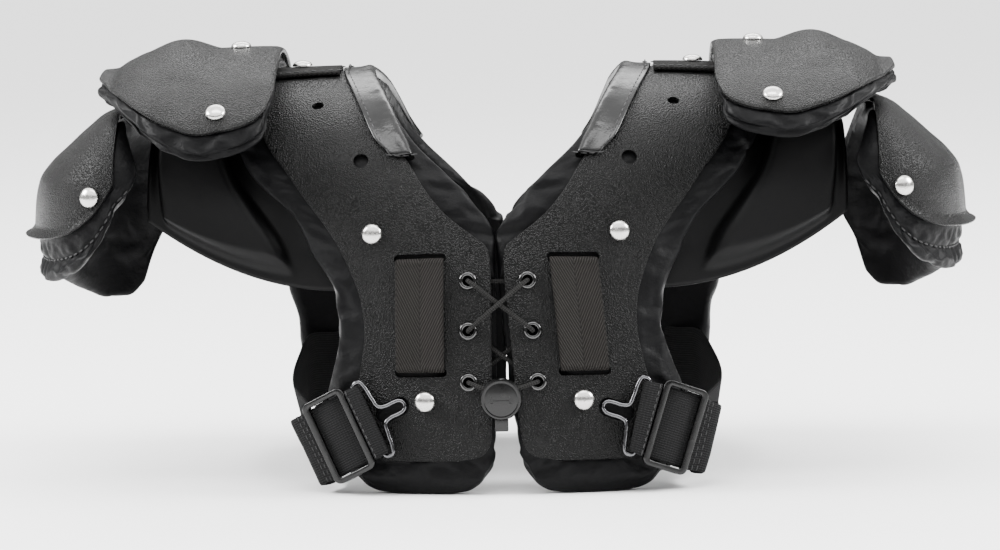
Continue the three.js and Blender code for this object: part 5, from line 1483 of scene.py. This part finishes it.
def buckle(half):
    base = BELT["lift"] + BELT["thickness"] + GAP
    half_long, half_wide = BUCKLE["along"] / 2, BUCKLE["across"] / 2
    corners = [(half_long - BUCKLE["corner"], half_wide - BUCKLE["corner"], 0),
               (BUCKLE["corner"] - half_long, half_wide - BUCKLE["corner"], 90),
               (BUCKLE["corner"] - half_long, BUCKLE["corner"] - half_wide, 180),
               (half_long - BUCKLE["corner"], BUCKLE["corner"] - half_wide, 270)]
    outer, inner = [], []
    window = (half_long - BUCKLE["bar"], half_wide - BUCKLE["rail"])
    for x, y, start in corners:
        for a in np.radians(np.linspace(start, start + 90, 9)):
            outer.append((x + BUCKLE["corner"] * math.cos(a), y + BUCKLE["corner"] * math.sin(a)))
            inner.append((math.copysign(window[0] - 1.2, x) + 1.2 * math.cos(a),
                          math.copysign(window[1] - 1.2, y) + 1.2 * math.sin(a)))
    matrix = frame_matrix(buckle_spot(half), half)
    bm = bmesh.new()
    loops = [[bm.verts.new(matrix @ Vector((x * MM, y * MM, z * MM))) for x, y in outline]
             for outline, z in ((outer, base), (outer, base + BUCKLE["thickness"]),
                                (inner, base + BUCKLE["thickness"]), (inner, base))]
    count = len(outer)
    for a in range(4):
        low, high = loops[a], loops[(a + 1) % 4]
        for j in range(count):
            bm.faces.new((low[j], low[(j + 1) % count], high[(j + 1) % count], high[j]))
    long = half_long - BUCKLE["corner"]
    for way in (-1, 1):
        edge = way * half_wide
        rail = way * (half_wide - BUCKLE["rail"])
        rounded_box(bm, (-long, min(edge, rail), BELT["lift"]), (long, max(edge, rail), base + 1), matrix)
    across = half_wide - BUCKLE["rail"] / 2
    rounded_box(bm, (-BUCKLE["bar"] / 2, -across, BELT["lift"]),
                (BUCKLE["bar"] / 2, across, BELT["lift"] + BELT["hump"] - GAP), matrix)
    bmesh.ops.recalc_face_normals(bm, faces=bm.faces)
    piece = keep(bm, f"buckle_{half['tag']}_slider", SMOOTH_PLASTIC)
    softened(piece, 0.0006)
    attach(piece, "root")
    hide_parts(f"buckle_{half['tag']}")


for half in HALVES:
    buckle(half)

# Wire hooks: bent from black-plated round wire, with the straight bar in the belt's loop and
# a narrow tongue down into the slot of the chest plate.
HOOK_LINE = (
    (0, 0.35, 0), (0, 10, 0), (0, 17.5, 0), (0.8, 19.9, 0), (2.6, 20.6, 0), (4.6, 20.2, -0.2),
    (5.8, 17, -0.5), (6.6, 10, -0.9), (7.8, 4.6, -1.2), (11, 3.3, -2.2), (15, 3.3, -4.0),
    (18, 2.9, -5.2), (19.8, 1.2, -5.6),
)


def plated_wire(name, colour, rough):
    material, tree, shader = finish_of(name, colour, rough, 1.0)
    where = coordinates(tree)
    marks = noise(tree, where, 700.0, 3.0, 0.6)
    darker, lighter = tuple(c * 0.75 for c in colour), tuple(min(1, c * 1.2) for c in colour)
    tree.links.new(tinted(tree, marks, darker, lighter), shader.inputs["Base Color"])
    tree.links.new(spread_over(tree, marks, 0.3, 0.7, rough * 0.75, rough * 1.3), shader.inputs["Roughness"])
    bumped(tree, shader, marks, 0.12, 0.00008)
    return material


def tube(name, half, points, radius, material, sides, step):
    """A round cord or wire along a smooth curve through points."""
    path = smooth_line(points, step)
    tangent = unit(np.gradient(path, axis=0))
    side = unit(np.cross(tangent[0], (0.3, 0.5, 0.8)))
    angle = np.linspace(0, math.tau, sides, False)
    rings = []
    for i, at in enumerate(path):
        side = unit(side - tangent[i] * np.dot(side, tangent[i]))
        other = np.cross(tangent[i], side)
        size = radius * 0.75 if i in (0, len(path) - 1) else radius
        rings.append(at + side * (np.cos(angle) * size)[:, None] + other * (np.sin(angle) * size)[:, None])
    return loft(name, half, rings, material)


BLACK_WIRE = plated_wire("black_plated_wire", (0.11, 0.11, 0.115), 0.2)


def wire_hook(half):
    other = [(along, -across, height) for along, across, height in reversed(HOOK_LINE)]
    line = np.array(HOOK_LINE + tuple(other), float)
    points = on_belt(half, -HOOK["bar"] - line[:, 0], line[:, 1], BAR_HEIGHT + line[:, 2])
    piece = tube(f"wire_hook_{half['tag']}_bent", half, points, HOOK["wire"], BLACK_WIRE, 16, 0.7)
    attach(piece, "root")
    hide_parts(f"wire_hook_{half['tag']}")


for half in HALVES:
    wire_hook(half)

# Rivets: low domed heads of nickel-plated steel, ten on each half, pressed flat on the plates
# and on the shoulder strap.
RIVET = dict(radius=5.3, height=3.0)
CAP_RIVETS = {"cap_front": (142, -84), "cap_top": (135, -4), "cap_back": (142, 84)}
CUP_RIVETS = {"cup_front": (-75, 0.7775 * CUP_HEIGHT), "cup_back": (75, 0.7775 * CUP_HEIGHT)}


def spots_mesh(spots):
    """A mesh of single points, each with the direction that its part faces."""
    mesh = bpy.data.meshes.new("spots")
    mesh.from_pydata([tuple(place) for place, _ in spots], [], [])
    facing = mesh.attributes.new("facing", "FLOAT_VECTOR", "POINT")
    facing.data.foreach_set("vector", np.array([f for _, f in spots], float).ravel())
    return mesh


def turned_to_face(tree, points, part):
    facing = tree.nodes.new("GeometryNodeInputNamedAttribute")
    facing.data_type = "FLOAT_VECTOR"
    facing.inputs["Name"].default_value = "facing"
    turned = chain(tree, "FunctionNodeAlignRotationToVector", {"Vector": facing.outputs["Attribute"]})
    turned.axis = "Z"
    return chain(tree, "GeometryNodeInstanceOnPoints",
                 {"Points": points, "Instance": part, "Rotation": turned.outputs[0]}).outputs[0]


def rivet_tree():
    """A closed dome on each point: a thin disc whose top rings are lifted into a dome."""
    tree, given, made = node_graph("domed rivets", (
        ("Radius", FLOAT, 0.005), ("Height", FLOAT, 0.003), ("Material", "NodeSocketMaterial", None)))
    head = chain(tree, "GeometryNodeMeshCylinder", {"Radius": given["Radius"]},
                 Vertices=36, Side_Segments=1, Fill_Segments=9, Depth=0.0006)
    place = tree.nodes.new("GeometryNodeInputPosition")
    parts = tree.nodes.new("ShaderNodeSeparateXYZ")
    tree.links.new(place.outputs[0], parts.inputs[0])
    squares = maths(tree, "ADD", *(maths(tree, "POWER", parts.outputs[i], 2.0) for i in (0, 1)))
    share = maths(tree, "DIVIDE", squares, maths(tree, "POWER", given["Radius"], 2.0))
    dome = maths(tree, "POWER", maths(tree, "MAXIMUM", maths(tree, "SUBTRACT", 1.0, share), 0.0), 0.62)
    top = maths(tree, "GREATER_THAN", parts.outputs[2], 0.0)
    rise = maths(tree, "MULTIPLY", maths(tree, "MULTIPLY", dome, top),
                 maths(tree, "SUBTRACT", given["Height"], 0.0006))
    lift = tree.nodes.new("ShaderNodeCombineXYZ")
    tree.links.new(maths(tree, "ADD", rise, 0.0003), lift.inputs[2])
    domed = chain(tree, "GeometryNodeSetPosition",
                  {"Geometry": head.outputs["Mesh"], "Offset": lift.outputs[0]})
    ending(tree, turned_to_face(tree, given["Geometry"], domed.outputs[0]), given["Material"], made)
    return tree


NICKEL = plated_wire("nickel_plate", (0.62, 0.61, 0.59), 0.24)


def rivet_spots(half):
    """Place over the face and direction of each rivet of a half, and their names."""
    spots = {}
    for name, (x, z) in CHEST_RIVETS.items():
        spots[name] = arch_spot(half, x, z)
    for name, (x, z) in BACK_RIVETS.items():
        spots[name] = arch_spot(half, x, z, False)
    at, out, up, normal = arch_frame(half, TOP_ROW, STRAP["rivet_x"])
    spots["strap"] = (at + normal * (STRAP["lift"] + STRAP["thickness"]), out, up, normal)
    for name, (x, y) in CAP_RIVETS.items():
        spots[name] = cap_frame(half, x, y)
    for name, (turn, z) in CUP_RIVETS.items():
        spots[name] = cup_frame(turn, z)
    sign = np.array((half["sign"], 1, 1))
    places = [((at + normal * GAP) * sign * MM, normal * sign) for at, _, _, normal in spots.values()]
    return places, list(spots)


def rivets():
    tree = rivet_tree()
    for half in HALVES:
        spots, names = rivet_spots(half)
        piece = grown(f"rivets_{half['tag']}", tree, spots_mesh(spots),
                      Radius=RIVET["radius"] * MM, Height=RIVET["height"] * MM, Material=NICKEL)
        piece.data.set_sharp_from_angle(angle=math.radians(50))
        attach(piece, "root")
        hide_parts(*(f"rivet_{name}_{half['tag']}" for name in names))


rivets()

# Eyelets: dark chromed rings rolled over the edges of the lace holes, three on each chest plate
# and two on each back plate.
EYELET = dict(radius=4.6, bore=2.3)


def eyelet_tree():
    tree, given, made = node_graph("rolled eyelets", (
        ("Radius", FLOAT, 0.0046), ("Bore", FLOAT, 0.0023), ("Flatness", FLOAT, 0.85),
        ("Material", "NodeSocketMaterial", None)))
    middle = maths(tree, "MULTIPLY", maths(tree, "ADD", given["Radius"], given["Bore"]), 0.5)
    roll = maths(tree, "MULTIPLY", maths(tree, "SUBTRACT", given["Radius"], given["Bore"]), 0.5)
    path = chain(tree, "GeometryNodeCurvePrimitiveCircle", {"Radius": middle}, Resolution=40)
    profile = chain(tree, "GeometryNodeCurvePrimitiveCircle", {"Radius": roll}, Resolution=14)
    ring = chain(tree, "GeometryNodeCurveToMesh",
                 {"Curve": path.outputs[0], "Profile Curve": profile.outputs[0]})
    flat = tree.nodes.new("ShaderNodeCombineXYZ")
    flat.inputs[0].default_value = flat.inputs[1].default_value = 1
    tree.links.new(given["Flatness"], flat.inputs[2])
    pressed = chain(tree, "GeometryNodeTransform",
                    {"Geometry": ring.outputs[0], "Scale": flat.outputs[0]})
    ending(tree, turned_to_face(tree, given["Geometry"], pressed.outputs[0]), given["Material"], made)
    return tree


CHROME = plated_wire("dark_chromed_ring", (0.07, 0.07, 0.07), 0.13)


def eyelets():
    tree = eyelet_tree()
    for half in HALVES:
        sign = np.array((half["sign"], 1, 1))
        places = {f"chest_{i + 1}": arch_spot(half, EYELET_X, z) for i, z in enumerate(CHEST_EYELETS)}
        for i, z in enumerate(BACK_EYELETS):
            places[f"back_{i + 1}"] = arch_spot(half, EYELET_X, z, False)
        spots = [((at + normal * GAP) * sign * MM, normal * sign) for at, _, _, normal in places.values()]
        piece = grown(f"eyelets_{half['tag']}", tree, spots_mesh(spots), Radius=EYELET["radius"] * MM,
                      Bore=EYELET["bore"] * MM, Flatness=0.9, Material=CHROME)
        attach(piece, "root")
        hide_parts(*(f"eyelet_{name}_{half['tag']}" for name in places))


eyelets()

# Laces: round braided cord. One crosses the chest through six eyelets and is knotted in the
# toggle disc, the other holds the back plates together through four eyelets.
LACE = dict(radius=1.2, front=2.95, behind=4.3)
LACE_TURN = ((3.2, 1), (0.95, 0.72), (0.05, 0.06))
LACE_TURN_BEHIND = ((0.05, 0.42), (0.85, 0.82), (2.9, 1))
DISC = dict(x=2, z=50, radius=10.6, thickness=5.4, hole=5.5)
CLIP = dict(width=7, thickness=3.24, drop=16.5)
WHOLE = dict(sign=1)


def braided_cord():
    """Braid: two sets of slanting strands that cross round the cord."""
    material, tree, shader = finish_of("black_braided_cord", (0.008, 0.008, 0.008), 0.8, gloss=0.1)
    parts = tree.nodes.new("ShaderNodeSeparateXYZ")
    tree.links.new(coordinates(tree, "UV"), parts.inputs[0])
    round_it = maths(tree, "MULTIPLY", parts.outputs["X"], 4 / (LACE["radius"] * MM))
    run = maths(tree, "MULTIPLY", parts.outputs["Y"], 2600.0)
    one = maths(tree, "SINE", maths(tree, "ADD", round_it, run))
    two = maths(tree, "SINE", maths(tree, "SUBTRACT", round_it, run))
    braid = maths(tree, "MULTIPLY_ADD", maths(tree, "MULTIPLY", one, two), 0.5, 0.5)
    tree.links.new(tinted(tree, braid, (0.0015, 0.0015, 0.0015), (0.022, 0.0215, 0.021)),
                   shader.inputs["Base Color"])
    bumped(tree, shader, braid, 1.0, 0.0003)
    return material


CORD = braided_cord()


def lace_spot(half, z, front=True):
    at, _, _, normal = arch_spot(half, EYELET_X, z, front)
    sign = np.array((half["sign"], 1, 1))
    return at * sign, normal * sign


def lace_pass(spot, outer_to, inner_to, going_in):
    """The turn of a cord over the rim of an eyelet, through it and out behind."""
    at, normal = spot

    def towards(target):
        way = target - at
        return unit(way - normal * np.dot(way, normal))

    outer = [at + towards(outer_to) * out + normal * share * LACE["front"] for out, share in LACE_TURN]
    inner = [at + towards(inner_to) * out - normal * share * LACE["behind"]
             for out, share in LACE_TURN_BEHIND]
    points = outer + inner
    return points if going_in else points[::-1]


def crossing(a, b, height):
    return (a[0] + b[0]) / 2 + unit(a[1] + b[1]) * height


def disc_face():
    return lace_spot(HALVES[0], DISC["z"] - CLIP["drop"])[0][1] - 2 * GAP


def lace_knot(way, further=0.0):
    return np.array((DISC["x"] + way * DISC["radius"] * (0.3 + further),
                     disc_face() - DISC["thickness"] / 2, DISC["z"] + DISC["hole"]))


def laces():
    left, right = HALVES
    l1, l2, l3 = (lace_spot(left, z) for z in CHEST_EYELETS)
    r1, r2, r3 = (lace_spot(right, z) for z in CHEST_EYELETS)
    points = [
        lace_knot(-1), lace_knot(-1, 0.55),
        *lace_pass(l3, lace_knot(-1, 0.55), r2[0], True), crossing(l3, r2, -6),
        *lace_pass(r2, l1[0], l3[0], False), crossing(r2, l1, 2.7),
        *lace_pass(l1, r2[0], r1[0], True), crossing(l1, r1, -4.2),
        *lace_pass(r1, l2[0], l1[0], False), crossing(r1, l2, 5.6),
        *lace_pass(l2, r1[0], r3[0], True), crossing(l2, r3, -3.4),
        *lace_pass(r3, lace_knot(1, 0.55), l2[0], False),
        lace_knot(1, 0.55), lace_knot(1),
    ]
    front = tube("chest_lace_braided", WHOLE, points, LACE["radius"], CORD, 12, 0.8)
    l1, l2 = (lace_spot(left, z, False) for z in BACK_EYELETS)
    r1, r2 = (lace_spot(right, z, False) for z in BACK_EYELETS)
    points = [
        *lace_pass(l1, r1[0], l2[0], False), crossing(l1, r1, LACE["front"]),
        *lace_pass(r1, l1[0], l2[0], True), crossing(r1, l2, -LACE["behind"]),
        *lace_pass(l2, r2[0], r1[0], False), crossing(l2, r2, LACE["front"]),
        *lace_pass(r2, l2[0], r1[0], True),
    ]
    back = tube("back_lace_braided", WHOLE, points, LACE["radius"], CORD, 12, 0.8)
    for piece, node in ((front, "chest_lace"), (back, "back_lace")):
        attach(piece, "root")
        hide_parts(node)


laces()

# Toggle disc: a round of smooth black plastic over the lowest lace crossing, with a mark
# pressed into its face and a flat clip below, which holds the knotted ends of the lace.
# Its profile is in shares of its radius and of half its thickness, from the face to the back.
DISC_PROFILE = ((0.72, -1), (0.8, -0.9), (0.86, -1), (0.95, -0.92), (1, -0.6), (1, 0.6), (0.94, 1))
DISC_SIDES = 48
DISC_MARK = dict(high=1.9, stroke=0.6, deep=0.7)


def mark_outline(long, high, stroke):
    """Two upright bars joined by a level one, as one outline."""
    stem = long - 2 * stroke
    quarter = [(long, -high), (long, high), (stem, high), (stem, stroke), (-stem, stroke), (-stem, high)]
    return quarter + [(-x, -y) for x, y in quarter]


def toggle_disc():
    middle = Vector((DISC["x"], disc_face() - DISC["thickness"] / 2, DISC["z"])) * MM
    bm = bmesh.new()
    rings = []
    for r, h in DISC_PROFILE:
        reach, depth = r * DISC["radius"], h * DISC["thickness"] / 2
        rings.append([bm.verts.new(middle + Vector((reach * math.cos(a), depth, reach * math.sin(a))) * MM)
                      for a in np.linspace(0, math.tau, DISC_SIDES, False)])
    for low, high in zip(rings, rings[1:]):
        for j in range(DISC_SIDES):
            k = (j + 1) % DISC_SIDES
            bm.faces.new((low[j], low[k], high[k], high[j]))
    bm.faces.new(rings[0])
    bm.faces.new(rings[-1])
    bmesh.ops.recalc_face_normals(bm, faces=bm.faces)
    piece = keep(bm, "toggle_disc", SMOOTH_PLASTIC, 40)
    front = Matrix.Translation(middle) @ Matrix.Rotation(math.radians(90), 4, "X")
    lifted = DISC["thickness"] / 2 + CUTTER_REACH - DISC_MARK["deep"]
    mark = mark_outline(DISC["radius"] / 2, DISC_MARK["high"], DISC_MARK["stroke"])
    cut_holes(piece, [(front @ Matrix.Translation((0, 0, lifted * MM)), mark)], 40)
    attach(piece, "root")
    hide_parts("lace_disc")
    bm = bmesh.new()
    low = (-CLIP["width"] / 2, -CLIP["thickness"] / 2, -CLIP["drop"])
    high = (CLIP["width"] / 2, CLIP["thickness"] / 2, -DISC["radius"] * 0.8)
    rounded_box(bm, low, high, Matrix.Translation(middle))
    clip = keep(bm, "toggle_clip", SMOOTH_PLASTIC)
    softened(clip, 0.0008)
    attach(clip, "root")


toggle_disc()
